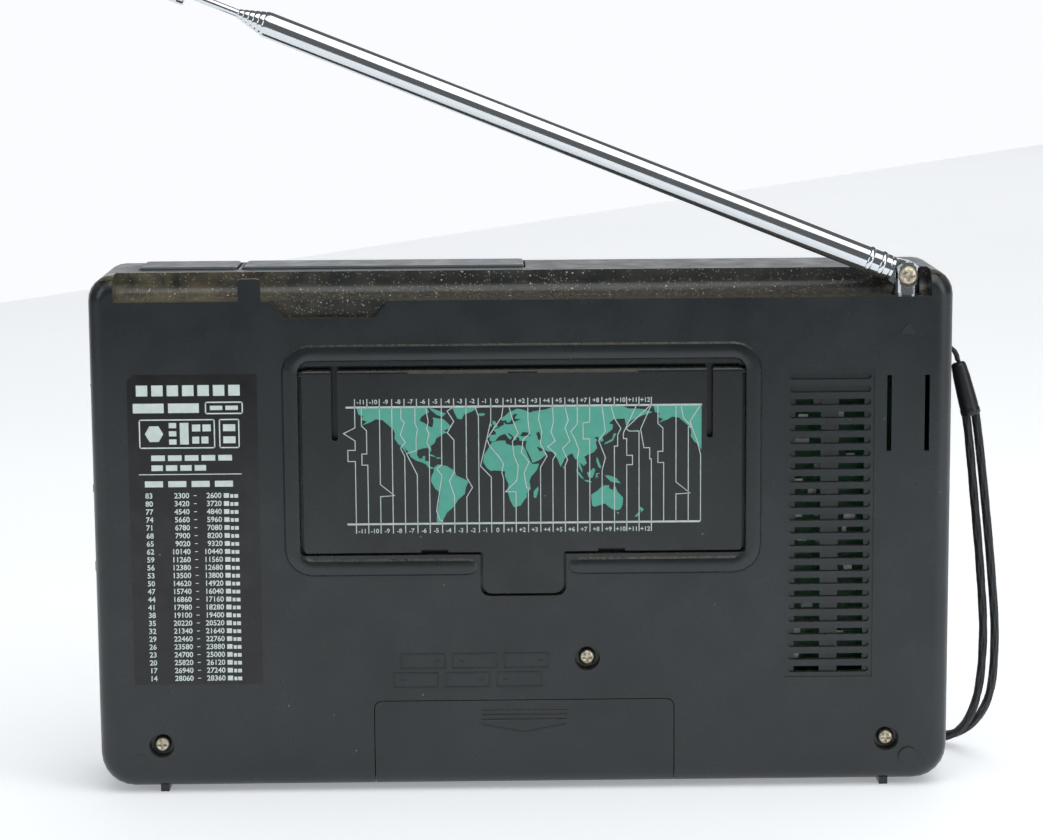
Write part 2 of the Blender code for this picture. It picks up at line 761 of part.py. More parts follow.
def make_battery_tray():
    """A shelf over the cells with an end wall at each side, and the contact strips."""
    tray = publish("battery_tray", boxes(((-79.2, -14.5, 18.0), (79.2, 13.2, 19.2))), BLACK)
    walls = bmesh.new()
    for x in (-78.6, 78.6):
        box(walls, (x - 0.6, -14.5, 3.0), (x + 0.6, 13.2, 18.5))
    join(tray, walls)
    for name, side in (("contact_right", 1), ("contact_left", -1)):
        x = side * 77.2
        strip = publish(name, boxes(((x - 0.3, -13.5, 4.0), (x + 0.3, 14.0, 16.0))), TIN)
        bumps = bmesh.new()
        for y in CELL_ROWS:
            add_rod(bumps, (x, y, CELL_Z), (x - side * 0.7, y, CELL_Z), 2.2)
        join(strip, bumps)


def make_boards():
    """The main board, the key board, the ferrite rod and the tuner's metal can."""
    main = publish("main_board", boxes(((-90.0, 3.6, 22.0), (90.0, 5.1, 98.5))), BOARD)
    x, z = SCREWS[1]
    cut(main, rods(((x, 2.0, z), (x, 7.0, z), BOSS_RADIUS + 1.2)))
    publish("key_board", boxes(((1.0, -12.2, 24.0), (88.0, -10.8, 76.0))), BOARD)
    ferrite = rods(((-92.0, -3.0, 108.5), (-14.0, -3.0, 108.5), 4.0))
    publish("ferrite_rod", ferrite, FERRITE)
    can = publish("tuner_shield", boxes(((-12.0, -6.0, 58.0), (34.0, 3.3, 92.0))), TIN)
    cut(can, boxes(((-11.4, -5.4, 58.6), (33.4, 5.0, 91.4))))


def make_speaker():
    """The loudspeaker: rim, paper cone, basket and magnet, turned about its own axis."""
    profile = [
        (0.0, -17.0),
        (16.0, -17.0),
        (16.0, -9.0),
        (20.0, -8.0),
        (30.0, -2.2),
        (SPEAKER_RADIUS, -2.2),
        (SPEAKER_RADIUS, 0.0),
        (30.5, 0.0),
        (28.5, -0.8),
        (10.0, -6.0),
        (6.0, -4.0),
        (0.0, -3.2),
    ]
    speaker = turned("speaker", list(reversed(profile)), CONE, sides=24)
    speaker.location = Vector((SPEAKER[0], FRONT + WALL_FRONT + 0.3, SPEAKER[1])) * MM
    speaker.rotation_euler = (math.radians(90.0), 0.0, 0.0)


def make_display():
    """The window pane in its seat and the display module behind it."""
    left, right, bottom, top = DISPLAY
    gap = 0.25
    low = (left + gap, FRONT + 0.1, bottom + gap)
    high = (right - gap, FRONT + 1.1, top - gap)
    publish("display_window", rounded_box(low, high, 1, 1.8, 3), WINDOW)
    low = (left + 1.0, FRONT + WALL_FRONT + 1.2, bottom - 1.0)
    high = (right - 1.0, FRONT + WALL_FRONT + 4.2, top + 1.0)
    publish("display_module", boxes((low, high)), LCD)


# ---------------------------------------------------------------- controls


def make_keys():
    """The front keys, each with a flange behind the cabinet's wall."""
    for name, ((x, z), (half_x, half_z)) in front_keys().items():
        low = (x - half_x, FRONT - 1.0, z - half_z)
        high = (x + half_x, FRONT + 3.2, z + half_z)
        cap = rounded_box(low, high, 1, 1.0, 2, (1, FRONT - 1.0, 0.4, 1))
        key = publish(name, cap, KEYCAP, (x, FRONT, z))
        low = (x - half_x - 0.9, FRONT + 2.4, z - half_z - 0.9)
        high = (x + half_x + 0.9, FRONT + 3.4, z + half_z + 0.9)
        join(key, boxes((low, high)))


def make_top_keys():
    """The light button and the long snooze bar in the top face."""
    for name, (low_x, high_x) in TOP_KEYS.items():
        low = (low_x, TOP_KEY_Y[0], HEIGHT - 3.4)
        high = (high_x, TOP_KEY_Y[1], HEIGHT + 0.6)
        cap = rounded_box(low, high, 2, 1.0, 2, (2, HEIGHT + 0.6, 0.4, 2))
        key = publish(name, cap, GREY, ((low_x + high_x) / 2, -4.5, HEIGHT))
        low = (low_x - 0.6, TOP_KEY_Y[0] - 0.8, HEIGHT - 3.6)
        high = (high_x + 0.6, TOP_KEY_Y[1] + 0.8, HEIGHT - 2.6)
        join(key, boxes((low, high)))


def make_wheels():
    """The two thumbwheels, toothed at the rim, on short stub axles."""
    for name, (x, z) in WHEELS.items():
        mesh = bmesh.new()
        add_rod(mesh, (x, WHEEL_Y[0], z), (x, WHEEL_Y[1], z), WHEEL_RADIUS, 64)
        for vert in mesh.verts:
            away = vert.co - Vector((x, vert.co.y, z))
            turn = round(math.atan2(away.z, away.x) / (math.tau / 64))
            if turn % 2:
                vert.co = vert.co - away.normalized() * 0.35
        wheel = publish(name, mesh, GREY, (x, sum(WHEEL_Y) / 2, z))
        join(wheel, rods(((x, WHEEL_Y[0] - 2.0, z), (x, WHEEL_Y[1] + 2.0, z), 2.0)))


def make_switches():
    """Two slide switches with ridged nubs that stand just proud of the panel."""
    for name, (z, half, way) in SWITCHES.items():
        low = (94.6, -7.0, z - half)
        high = (101.1, -1.0, z + half)
        knob = publish(name, rounded_box(low, high, 1, 0.3, 1), KEYCAP, (98.0, -4.0, z))
        join(knob, boxes(((94.0, -8.5, z - half - 1.6), (95.6, 0.5, z + half + 1.6))))


def make_jacks():
    """The two sockets, each a body with a round nose and a blind bore."""
    for name, z in JACKS.items():
        jack = publish(name, boxes(((-95.5, -9.0, z - 5.0), (-83.0, 1.0, z + 5.0))), JACK)
        join(jack, rods(((-94.0, -4.0, z), (-101.1, -4.0, z), 3.1), sides=24))
        cut(jack, rods(((-85.0, -4.0, z), (-103.0, -4.0, z), 1.8)))


# ---------------------------------------------------------------- antenna


def on_antenna(thing, lean=True):
    """Place a turned piece at the swing pivot, along the raised antenna or upright."""
    thing.location = Vector(PIVOT) * MM
    if lean:
        thing.rotation_euler = (0.0, math.pi / 2 - RAISED, 0.0)


def make_antenna_mount():
    """The post that lifts and turns, its bush, the swing screw and the knuckle."""
    x, y, z = PIVOT
    head = [(0.0, 3.15), (POST_RADIUS, 3.15), (POST_RADIUS, -13.0), (1.3, -13.0), (1.3, -28.4)]
    head += [(2.1, -28.4), (2.1, -29.8), (0.0, -29.8)]
    post = turned("antenna_post", head, CHROME, sides=24)
    on_antenna(post, lean=False)
    crown = bmesh.new()
    box(crown, (x - POST_RADIUS - 0.01, y - 5.0, 80.0), (x + POST_RADIUS + 0.01, y + 5.0, z + 3.15))
    round_off(crown, edges_along(crown, 1, lambda p: p.z > z), POST_RADIUS * 0.97, 6)
    combine(post, crown, "INTERSECT")
    cut(post, boxes(((x - 5.0, y - 1.3, z - 3.9), (x + 5.0, y + 1.3, z + 5.0))))
    cut(post, rods(((x, y - 5.0, z), (x, y + 5.0, z), 1.4)))
    cut(post, rods(((x, y + 2.5, z), (x, y + 6.0, z), 2.7), sides=24))

    ring = [(2.3, -25.4), (2.3, -28.1), (1.6, -28.1), (1.6, -25.4)]
    bush = turned("antenna_bush", ring, BLACK, closed=True)
    on_antenna(bush, lean=False)

    profile = [(0.0, 1.1), (0.9, 1.05), (1.8, 0.7), (2.3, 0.15)]
    profile += [(2.3, 0.0), (1.1, 0.0), (1.1, -5.6), (0.0, -5.6)]
    screw = turned("antenna_pivot_screw", profile, NICKEL, sides=20)
    screw.location = Vector((x, y + 2.8, z)) * MM
    screw.rotation_euler = (math.radians(-90.0), 0.0, 0.0)
    add_cross(screw, (x, y + 3.9, z), 1.3, 0.33, 0.7)
    make_knuckle()


def make_knuckle():
    """A flat tab with a round end that turns in the post's fork, and its plug."""
    tab = rounded_box((-2.95, -1.0, -2.95), (2.95, 1.0, 4.4), 1, 2.8, 6)
    for vert in tab.verts:
        if vert.co.z > 0.7:
            vert.co.z += 0.6
    knuckle = publish("antenna_knuckle", tab, CHROME)
    on_antenna(knuckle)
    for start, end, radius in ((3.6, 4.3, 2.95), (4.0, 9.0, 2.4)):
        on_antenna(join(knuckle, rods(((0.0, 0.0, start), (0.0, 0.0, end), radius))))
    x, y, z = PIVOT
    cut(knuckle, rods(((x, y - 3.0, z), (x, y + 3.0, z), 1.4)))


def make_antenna_tubes():
    """The main tube with its two beads, the five nested tubes and the tipped rod."""
    names = ["antenna_tube"] + [f"antenna_section_{n}" for n in range(2, 7)]
    for index, (name, radius) in enumerate(zip(names, TUBE_RADII)):
        bore = radius - TUBE_WALL
        start = TUBE_START if index == 0 else 9.5 + index * 0.5
        end = TUBE_END + index * CRIMP
        profile = [(bore + 0.02, end), (radius, end - CRIMP)]
        if index == 0:
            for middle in (9.4, 6.4):
                profile += [(radius, middle + 0.6), (radius + 0.25, middle + 0.3)]
                profile += [(radius + 0.25, middle - 0.3), (radius, middle - 0.6)]
        profile += [(radius, start), (bore, start), (bore, end)]
        tube = turned(name, profile, CHROME, sides=16, closed=True)
        on_antenna(tube)
    base = TUBE_END + 5 * CRIMP + 0.3 + ROD_PULLED
    profile = [(0.0, base + 5.6), (1.6, base + 5.3), (2.7, base + 4.3), (3.0, base + 3.0), (3.0, base)]
    profile += [(ROD_RADIUS, base), (ROD_RADIUS, 26.0), (0.0, 26.0)]
    on_antenna(turned("antenna_tip", profile, CHROME, sides=16))


# ---------------------------------------------------------------- wrist strap


def tube_along(name, points, radius, sides_level, material):
    """A cord or wire as a closed tube through points, in case millimetres."""
    curve = bpy.data.curves.new(name, "CURVE")
    curve.dimensions = "3D"
    curve.bevel_depth = radius * MM
    curve.bevel_resolution = sides_level
    curve.use_fill_caps = True
    spline = curve.splines.new("POLY")
    spline.points.add(len(points) - 1)
    for point, place in zip(spline.points, points):
        point.co = (*(Vector(place) * MM), 1.0)
    curve.materials.append(material)
    made = bpy.data.objects.new(name, curve)
    made.parent = CASE
    PARTS.objects.link(made)
    return made


def smooth_path(points, step):
    """Points every so many millimetres along a smooth curve through the given ones."""
    points = [Vector(p) for p in points]
    fine = []
    for index in range(len(points) - 1):
        before = points[max(index - 1, 0)]
        a, b = points[index], points[index + 1]
        after = points[min(index + 2, len(points) - 1)]
        for part in range(24):
            t = part / 24
            straight = 2 * a + (b - before) * t
            bend = (2 * before - 5 * a + 4 * b - after) * t**2
            twist = (3 * a - before - 3 * b + after) * t**3
            fine.append((straight + bend + twist) / 2)
    fine.append(points[-1])
    lengths = [0.0]
    for a, b in zip(fine, fine[1:]):
        lengths.append(lengths[-1] + (b - a).length)
    count = max(2, round(lengths[-1] / step))
    path, place = [], 0
    for index in range(count + 1):
        want = lengths[-1] * index / count
        while place < len(fine) - 2 and lengths[place + 1] < want:
            place += 1
        share = (want - lengths[place]) / (lengths[place + 1] - lengths[place])
        path.append(fine[place].lerp(fine[place + 1], share))
    return path


# The strap's middle line, from the sleeve's mouth down the side to the table and round
# in front of the case, with the distance of each strand from it.
STRAP_ROUTE = (
    ((-105.7, 0.4, 84.3), 1.12),
    ((-106.6, 0.3, 78.0), 1.15),
    ((-108.3, -0.6, 64.0), 1.25),
    ((-110.4, -2.4, 46.0), 1.3),
    ((-112.0, -5.6, 29.0), 1.4),
    ((-111.6, -10.0, 13.5), 1.45),
    ((-108.0, -15.8, 3.8), 1.4),
    ((-101.5, -21.4, 0.1), 1.4),
    ((-92.0, -25.0, -0.2), 1.6),
    ((-80.0, -26.6, -0.2), 2.2),
    ((-68.0, -27.4, -0.2), 3.6),
    ((-58.0, -27.6, -0.2), 4.9),
)
STRAP_TURN = ((-53.2, -22.9, -0.2), (-50.9, -27.6, -0.2), (-53.2, -32.3, -0.2))


def strap_strands():
    """The strap's two strands: route points to either side of the middle line."""
    middle = [Vector(place) for place, _ in STRAP_ROUTE]
    out, back = [], []
    for index, (point, (_, away)) in enumerate(zip(middle, STRAP_ROUTE)):
        ahead = middle[min(index + 1, len(middle) - 1)] - middle[max(index - 1, 0)]
        flat = Vector((-ahead.y, ahead.x, 0.0))
        side = flat.normalized() if abs(ahead.normalized().z) < 0.9 else Vector((1.0, 0.0, 0.0))
        out.append(point + side * away)
        back.append(point - side * away)
    return out, back


def make_strap():
    """The thin loop through the eyelet, the moulded sleeve and the doubled cord."""
    top = Vector((-102.6, 0.0, 96.4))
    bottom = Vector((-105.6, 0.4, 84.9))
    sleeve = bmesh.new()
    add_rod(sleeve, bottom, top, 2.35, 16, end_radius=1.75)
    publish("strap_sleeve", sleeve, CORD)
    ring = [(-102.6, -0.75, 96.75), (-102.0, -1.7, 98.6), (-100.8, -2.2, 100.0)]
    ring += [(-99.0, -2.2, 100.8), (-97.9, -1.5, 101.0), (-97.5, 0.0, 101.1)]
    ring += [(x, -y, z) for x, y, z in reversed(ring[:-1])]
    tube_along("strap_loop", smooth_path(ring, 1.5), 0.5, 2, CORD)
    out, back = strap_strands()
    route = out + [Vector(place) for place in STRAP_TURN] + list(reversed(back))
    tube_along("wrist_strap", smooth_path(route, 5.0), STRAP_RADIUS, 2, CORD)


make_front_cabinet()
make_side_panels()
make_rear_cover()
make_battery_door()
make_tilt_stand()
make_fasteners()
make_cells()
make_battery_tray()
make_boards()
make_speaker()
make_display()
make_keys()
make_top_keys()
make_wheels()
make_switches()
make_jacks()
make_antenna_mount()
make_antenna_tubes()
make_strap()
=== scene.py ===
# %% [markdown]
# # A pocket shortwave receiver, seen from behind
#
# The receiver stands on its underside with its keys turned away. Its telescopic antenna is
# raised a little out of the trough along the top, the tilt stand with a world map printed
# on it is folded in, and a braided wrist strap hangs at one side.
#
# The exact CAD model is loaded first and stays fixed. Every visible piece made below lies
# where a CAD solid lies, rides on that solid's body and, where it is better than the plain
# solid, stands for it.

# %% Load the frame
import json
import math

import bmesh
import bpy
from mathutils import Matrix, Vector
from mathutils.geometry import tessellate_polygon


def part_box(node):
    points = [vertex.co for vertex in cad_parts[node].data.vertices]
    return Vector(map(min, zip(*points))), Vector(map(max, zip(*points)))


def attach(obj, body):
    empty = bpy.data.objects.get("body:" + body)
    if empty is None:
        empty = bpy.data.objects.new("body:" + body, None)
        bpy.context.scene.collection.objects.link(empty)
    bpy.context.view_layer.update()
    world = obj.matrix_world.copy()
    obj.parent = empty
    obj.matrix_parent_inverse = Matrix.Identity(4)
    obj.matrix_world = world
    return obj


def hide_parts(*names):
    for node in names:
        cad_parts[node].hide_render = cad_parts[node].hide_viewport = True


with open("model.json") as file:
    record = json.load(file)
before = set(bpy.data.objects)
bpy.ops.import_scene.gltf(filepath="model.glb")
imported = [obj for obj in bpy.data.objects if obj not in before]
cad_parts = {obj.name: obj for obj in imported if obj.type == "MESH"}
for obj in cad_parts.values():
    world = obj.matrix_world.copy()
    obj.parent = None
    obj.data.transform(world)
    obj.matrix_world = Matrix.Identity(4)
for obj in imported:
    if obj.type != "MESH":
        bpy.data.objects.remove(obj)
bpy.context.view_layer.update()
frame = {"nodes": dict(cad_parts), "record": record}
BODY_OF = {
    node: body for body, nodes in frame["record"]["behaviour"]["bodies"].items() for node in nodes
}

# %% [markdown]
# ## Places
#
# Everything is drawn in case millimetres, which a maker would read off a drawing: heights
# are measured from the underside of the case. Four small feet lift the case, so one
# function adds their height and turns millimetres into metres.

# %% Case millimetres
MM = 0.001
FOOT_HEIGHT = 1.4
BACK = 17.0
PIVOT = (-88.4, 12.4, 118.5)
RAISED = math.radians(21.7)


def at(x, y, z):
    """A place in case millimetres, as a point in metres."""
    return Vector((x, y, z + FOOT_HEIGHT)) * MM


print("the case stands on", FOOT_HEIGHT, "mm feet")

# %% [markdown]
# ## Camera
#
# A long lens from about two thirds of a metre, a hand above the table, looking slightly
# down. The three turns are the camera's heading, its tilt and a very small roll.

# %% Camera
LENS = 100.1
SENSOR = 36.0
heading = Matrix.Rotation(math.radians(179.3), 4, "Z")
tilt = Matrix.Rotation(math.radians(90.0 - 8.8), 4, "X")
roll = Matrix.Rotation(math.radians(-0.41), 4, "Z")
lens = bpy.data.cameras.new("long_lens")
lens.lens = LENS
lens.sensor_width = SENSOR
lens.sensor_fit = "HORIZONTAL"
camera = bpy.data.objects.new("camera", lens)
camera.matrix_world = Matrix.Translation((0.0082, 0.6735, 0.1893)) @ heading @ tilt @ roll
bpy.context.scene.collection.objects.link(camera)
bpy.context.scene.camera = camera
print("camera", [round(value, 3) for value in camera.matrix_world.translation])

# %% [markdown]
# ## Helpers for nodes
#
# Materials and Geometry Nodes are both trees of nodes, so one small function adds a node,
# sets what is its own, and fills its inputs with numbers or with other nodes' outputs.
# Colours are written as sRGB hex values and turned to linear light in one place.


# %% Nodes and colours
def linear(hex_colour, alpha=1.0):
    """An sRGB hex colour as linear light."""
    values = []
    for start in (1, 3, 5):
        value = int(hex_colour[start : start + 2], 16) / 255
        values.append(value / 12.92 if value <= 0.04045 else ((value + 0.055) / 1.055) ** 2.4)
    return (*values, alpha)


def add(tree, kind, inputs=None, **settings):
    """Add a node; inputs maps a socket's name or number to a value or an output."""
    node = tree.nodes.new(kind)
    for key, value in settings.items():
        setattr(node, key, value)
    for key, value in (inputs or {}).items():
        if isinstance(value, bpy.types.NodeSocket):
            tree.links.new(value, node.inputs[key])
        else:
            node.inputs[key].default_value = value
    return node


def new_finish(name, colour, roughness, metallic=0.0, ior=1.5):
    """A material with one Principled shader; gives its tree, shader and object coordinates."""
    made = bpy.data.materials.new(name)
    made.use_nodes = True
    tree = made.node_tree
    shader = tree.nodes["Principled BSDF"]
    shader.inputs["Base Color"].default_value = linear(colour)
    shader.inputs["Roughness"].default_value = roughness
    shader.inputs["Metallic"].default_value = metallic
    if not metallic:
        shader.inputs["IOR"].default_value = ior
    place = add(tree, "ShaderNodeTexCoord").outputs["Object"]
    return made, tree, shader, place


def per_metre(size_mm):
    """The scale that gives a pattern of a size in millimetres on object coordinates."""
    return 1.0 / (size_mm * MM)


print("white is", linear("#ffffff"))

# %% [markdown]
# ## Patterns that several finishes share
#
# Moulded plastic is never one flat tone. It has a fine spark-eroded grain, faint cloudy
# patches where hands polished it, and, on an old set, specks and a film of dust. These
# three small recipes are used by most of the finishes.


# %% Shared patterns
def grain(tree, shader, place, size_mm, depth_mm, strength=1.0):
    """A fine grain as bump, of a size and depth in millimetres."""
    noise = add(
        tree,
        "ShaderNodeTexNoise",
        {"Vector": place, "Scale": per_metre(size_mm), "Detail": 3.0, "Roughness": 0.6},
    )
    bump = add(
        tree,
        "ShaderNodeBump",
        {"Height": noise.outputs["Fac"], "Strength": strength, "Distance": depth_mm * MM},
    )
    tree.links.new(bump.outputs["Normal"], shader.inputs["Normal"])
    return noise.outputs["Fac"]


def patches(tree, place, size_mm, low, high, detail=4.0):
    """A slow cloudy value between two numbers."""
    noise = add(
        tree, "ShaderNodeTexNoise", {"Vector": place, "Scale": per_metre(size_mm), "Detail": detail}
    )
    span = add(
        tree,
        "ShaderNodeMapRange",
        {"Value": noise.outputs["Fac"], 1: 0.35, 2: 0.65, 3: low, 4: high},
    )
    return span.outputs["Result"]


def specks(tree, place, cell_mm, size, share):
    """Sparse round specks: a mask of small dots in a share of the cells."""
    cells = add(
        tree,
        "ShaderNodeTexVoronoi",
        {"Vector": place, "Scale": per_metre(cell_mm), "Randomness": 1.0},
    )
    dot = add(
        tree,
        "ShaderNodeMapRange",
        {"Value": cells.outputs["Distance"], 1: size, 2: size * 0.5, 3: 0.0, 4: 1.0},
    )
    split = add(tree, "ShaderNodeSeparateColor", {"Color": cells.outputs["Color"]})
    chosen = add(tree, "ShaderNodeMath", {0: split.outputs["Red"], 1: share}, operation="LESS_THAN")
    mask = add(
        tree,
        "ShaderNodeMath",
        {0: dot.outputs["Result"], 1: chosen.outputs[0]},
        operation="MULTIPLY",
    )
    return mask.outputs[0]


def blend(tree, share, one, other):
    """One colour where share is 0 and another where it is 1."""
    mix = add(tree, "ShaderNodeMix", {0: share, 6: one, 7: other}, data_type="RGBA")
    return mix.outputs[2]


print("shared patterns: grain, patches, specks")

# %% [markdown]
# ## The black rear cover's plastic
#
# The rear cover, battery door and tilt stand are ABS, moulded in a tool whose walls were
# spark-eroded, which leaves a fine satin grain. It eats most reflections, so the roughness
# is middling and uneven. Dust sits on what faces up, above all in the antenna trough, and
# a few pale specks are scattered all over. The direction a surface faces comes from the
# Geometry node's normal, so the dust stays where gravity would leave it.


# %% Black ABS
def black_abs(name, colour, dusty, rough):
    """Spark-textured black ABS with patches, specks and dust on its ledges."""
    made, tree, shader, place = new_finish(name, colour, rough, ior=1.54)
    grain(tree, shader, place, 0.35, 0.004, 0.4)
    worn = linear("#2c3234")
    cloud = patches(tree, place, 26.0, 0.0, 0.25)
    base = blend(tree, cloud, linear(colour), worn)
    pale = specks(tree, place, 2.6, 0.07, 0.08)
    base = blend(tree, pale, base, linear("#8d8b82"))
    facing = add(tree, "ShaderNodeNewGeometry").outputs["Normal"]
    upward = add(tree, "ShaderNodeSeparateXYZ", {"Vector": facing}).outputs["Z"]
    ledge = add(tree, "ShaderNodeMapRange", {"Value": upward, 1: 0.25, 2: 0.95, 3: 0.0, 4: 1.0})
    crumbs = patches(tree, place, 0.7, 0.0, 1.0, 6.0)
    settled = add(
        tree, "ShaderNodeMath", {0: ledge.outputs["Result"], 1: crumbs}, operation="MULTIPLY"
    )
    amount = add(tree, "ShaderNodeMath", {0: settled.outputs[0], 1: dusty}, operation="MULTIPLY")
    base = blend(tree, amount.outputs[0], base, linear("#7d7260"))
    tree.links.new(base, shader.inputs["Base Color"])
    gloss = patches(tree, place, 9.0, rough - 0.03, rough + 0.06)
    tree.links.new(gloss, shader.inputs["Roughness"])
    return made, tree, shader, place, base


cover_abs, cover_tree, cover_shader, cover_place, cover_base = black_abs(
    "spark_textured_abs_cover", "#151d1f", 0.5, 0.27
)
door_abs = black_abs("spark_textured_abs_door", "#161d1f", 0.5, 0.28)[0]
stand_abs = black_abs("satin_abs_stand", "#12191a", 0.25, 0.27)[0]
print("black ABS:", cover_abs.name, door_abs.name, stand_abs.name)

# %% [markdown]
# The antenna trough is where the dust of years collects. Its hollow back wall and its
# floor get a speckled brown film, kept to that space by two comparisons on the object's
# own coordinates: above the finger notch's foot and deeper than the back face. The film is
# sandier at one end, and dust lies on it in fine grains with a few coarse pale ones.

# %% Dust in the trough
TROUGH_FLOOR = 109.8
TROUGH_END = 95.0
axes = add(cover_tree, "ShaderNodeSeparateXYZ", {"Vector": cover_place})
above = add(
    cover_tree,
    "ShaderNodeMapRange",
    {
        "Value": axes.outputs["Z"],
        1: (TROUGH_FLOOR + FOOT_HEIGHT - 0.6) * MM,
        2: (TROUGH_FLOOR + FOOT_HEIGHT) * MM,
    },
)
within = add(
    cover_tree, "ShaderNodeMapRange", {"Value": axes.outputs["Y"], 1: 15.4 * MM, 2: 14.6 * MM}
)
aside = add(cover_tree, "ShaderNodeMath", {0: axes.outputs["X"]}, operation="ABSOLUTE")
between = add(
    cover_tree,
    "ShaderNodeMapRange",
    {"Value": aside.outputs[0], 1: (TROUGH_END + 1.0) * MM, 2: (TROUGH_END - 1.0) * MM},
)
inside = add(
    cover_tree,
    "ShaderNodeMath",
    {0: above.outputs["Result"], 1: within.outputs["Result"]},
    operation="MULTIPLY",
)
in_trough = add(
    cover_tree,
    "ShaderNodeMath",
    {0: inside.outputs[0], 1: between.outputs["Result"]},
    operation="MULTIPLY",
)
flecks = patches(cover_tree, cover_place, 5.0, 0.1, 0.7, 8.0)
film = add(cover_tree, "ShaderNodeMath", {0: in_trough.outputs[0], 1: flecks}, operation="MULTIPLY")
sandy_end = add(
    cover_tree, "ShaderNodeMapRange", {"Value": axes.outputs["X"], 1: 45.0 * MM, 2: 92.0 * MM}
)
film_colour = blend(cover_tree, sandy_end.outputs["Result"], linear("#45423b"), linear("#7d7256"))
dusted = blend(cover_tree, film.outputs[0], cover_base, film_colour)
for cell_mm, size, share, colour in ((0.55, 0.36, 0.4, "#8f8672"), (1.2, 0.2, 0.22, "#cfc6b2")):
    sand = specks(cover_tree, cover_place, cell_mm, size, share)
    sanded = add(
        cover_tree, "ShaderNodeMath", {0: in_trough.outputs[0], 1: sand}, operation="MULTIPLY"
    )
    dusted = blend(cover_tree, sanded.outputs[0], dusted, linear(colour))
cover_tree.links.new(dusted, cover_shader.inputs["Base Color"])
print("dust lies above", TROUGH_FLOOR, "mm, up to", TROUGH_END, "mm aside")

# %% [markdown]
# ## The cabinet's grey plastic, keys and other plastics
#
# The front shell is ABS as well, dark grey with a finer grain and a little more gloss.
# Keys are dyed through and almost smooth. Jacks are glossy polyamide, and the inner parts
# are plain natural mouldings.


# %% Grey ABS and other mouldings
def moulded(name, colour, rough, grain_mm, depth_mm, worn, speck=0.05):
    """A moulded plastic with grain, patches towards a worn colour and a few specks."""
    made, tree, shader, place = new_finish(name, colour, rough, ior=1.53)
    grain(tree, shader, place, grain_mm, depth_mm, 0.6)
    cloud = patches(tree, place, 11.0, 0.0, 0.5)
    base = blend(tree, cloud, linear(colour), linear(worn))
    dots = specks(tree, place, 3.1, 0.07, speck)
    base = blend(tree, dots, base, linear("#8b8a84"))
    tree.links.new(base, shader.inputs["Base Color"])
    gloss = patches(tree, place, 5.0, rough - 0.04, rough + 0.07)
    tree.links.new(gloss, shader.inputs["Roughness"])
    return made


cabinet_abs = moulded("satin_grey_abs_cabinet", "#3d4345", 0.36, 0.28, 0.008, "#474e50")
panel_abs = moulded("side_panel_abs", "#33383a", 0.34, 0.25, 0.006, "#3d4345")
top_key_abs = moulded("top_key_abs", "#4a5052", 0.33, 0.22, 0.006, "#555b5d")
key_abs = moulded("keycap_abs", "#5c6366", 0.42, 0.2, 0.005, "#666d70")
control_abs = moulded("control_abs", "#2c3133", 0.4, 0.22, 0.008, "#3a4042")
inner_abs = moulded("natural_black_moulding", "#1d1f20", 0.5, 0.5, 0.01, "#2a2c2d")
jack_nylon = moulded("black_polyamide", "#161819", 0.3, 0.3, 0.005, "#202324")
sleeve_rubber = moulded("moulded_sleeve_rubber", "#101415", 0.4, 0.3, 0.006, "#1a1f20", 0.12)
print("plastics made")

# %% [markdown]
# ## Metals
#
# The antenna is drawn brass tube, chrome plated: a hard mirror with faint lengthwise
# drawing marks and finger smudges that show only in its roughness. Screws are nickel
# plated steel, warmer and duller, with brown grime in their cross recesses. A metal keeps
# the default index of refraction; its colour and roughness say what it is.


# %% Chrome, nickel and tinplate
def metal(name, colour, rough_low, rough_high, smudge_mm, scratch_mm=None, grime=None):
    """A bare or plated metal: smudges in the roughness, fine drawing marks as bump."""
    made, tree, shader, place = new_finish(name, colour, rough_low, 1.0)
    smudge = patches(tree, place, smudge_mm, rough_low, rough_high)
    tree.links.new(smudge, shader.inputs["Roughness"])
    if scratch_mm:
        turn = add(
            tree,
            "ShaderNodeMapping",
            {"Vector": place, "Rotation": (0.0, -RAISED, 0.0), "Scale": (40.0, 1.0, 1.0)},
            vector_type="TEXTURE",
        )
        grain(tree, shader, turn.outputs["Vector"], scratch_mm, 0.002, 0.12)
    if grime:
        stain = patches(tree, place, 0.8, 0.0, 1.0)
        base = blend(tree, stain, linear(colour), linear(grime))
        tree.links.new(base, shader.inputs["Base Color"])
    return made


chrome = metal("chrome_plated_brass", "#d6dadd", 0.06, 0.14, 6.0, 0.3)
nickel = metal("nickel_plated_steel", "#e2dccd", 0.3, 0.46, 1.6, grime="#b3a484")
tinplate = metal("spangled_tinplate", "#b4b6b6", 0.28, 0.5, 5.0, 0.8)
contact_steel = metal("nickel_contact_strip", "#b9b6ad", 0.22, 0.4, 3.0, 0.5)
print("metals made")

# %% [markdown]
# ## Print, paper, glass and boards
#
# The map and the label are screen printed: thick matt ink that stands a few hundredths of
# a millimetre proud. The label itself is a glossier black film. The display window is
# polycarbonate, and the board behind the vents is green solder mask over copper tracks.


# %% Inks, film and the rest
def ink(name, colour, worn):
    """Screen-printed ink, matt, with small worn patches."""
    made, tree, shader, place = new_finish(name, colour, 0.55)
    wear = patches(tree, place, 1.6, 0.0, 0.5, 6.0)
    base = blend(tree, wear, linear(colour), linear(worn))
    tree.links.new(base, shader.inputs["Base Color"])
    grain(tree, shader, place, 0.12, 0.004, 0.4)
    return made


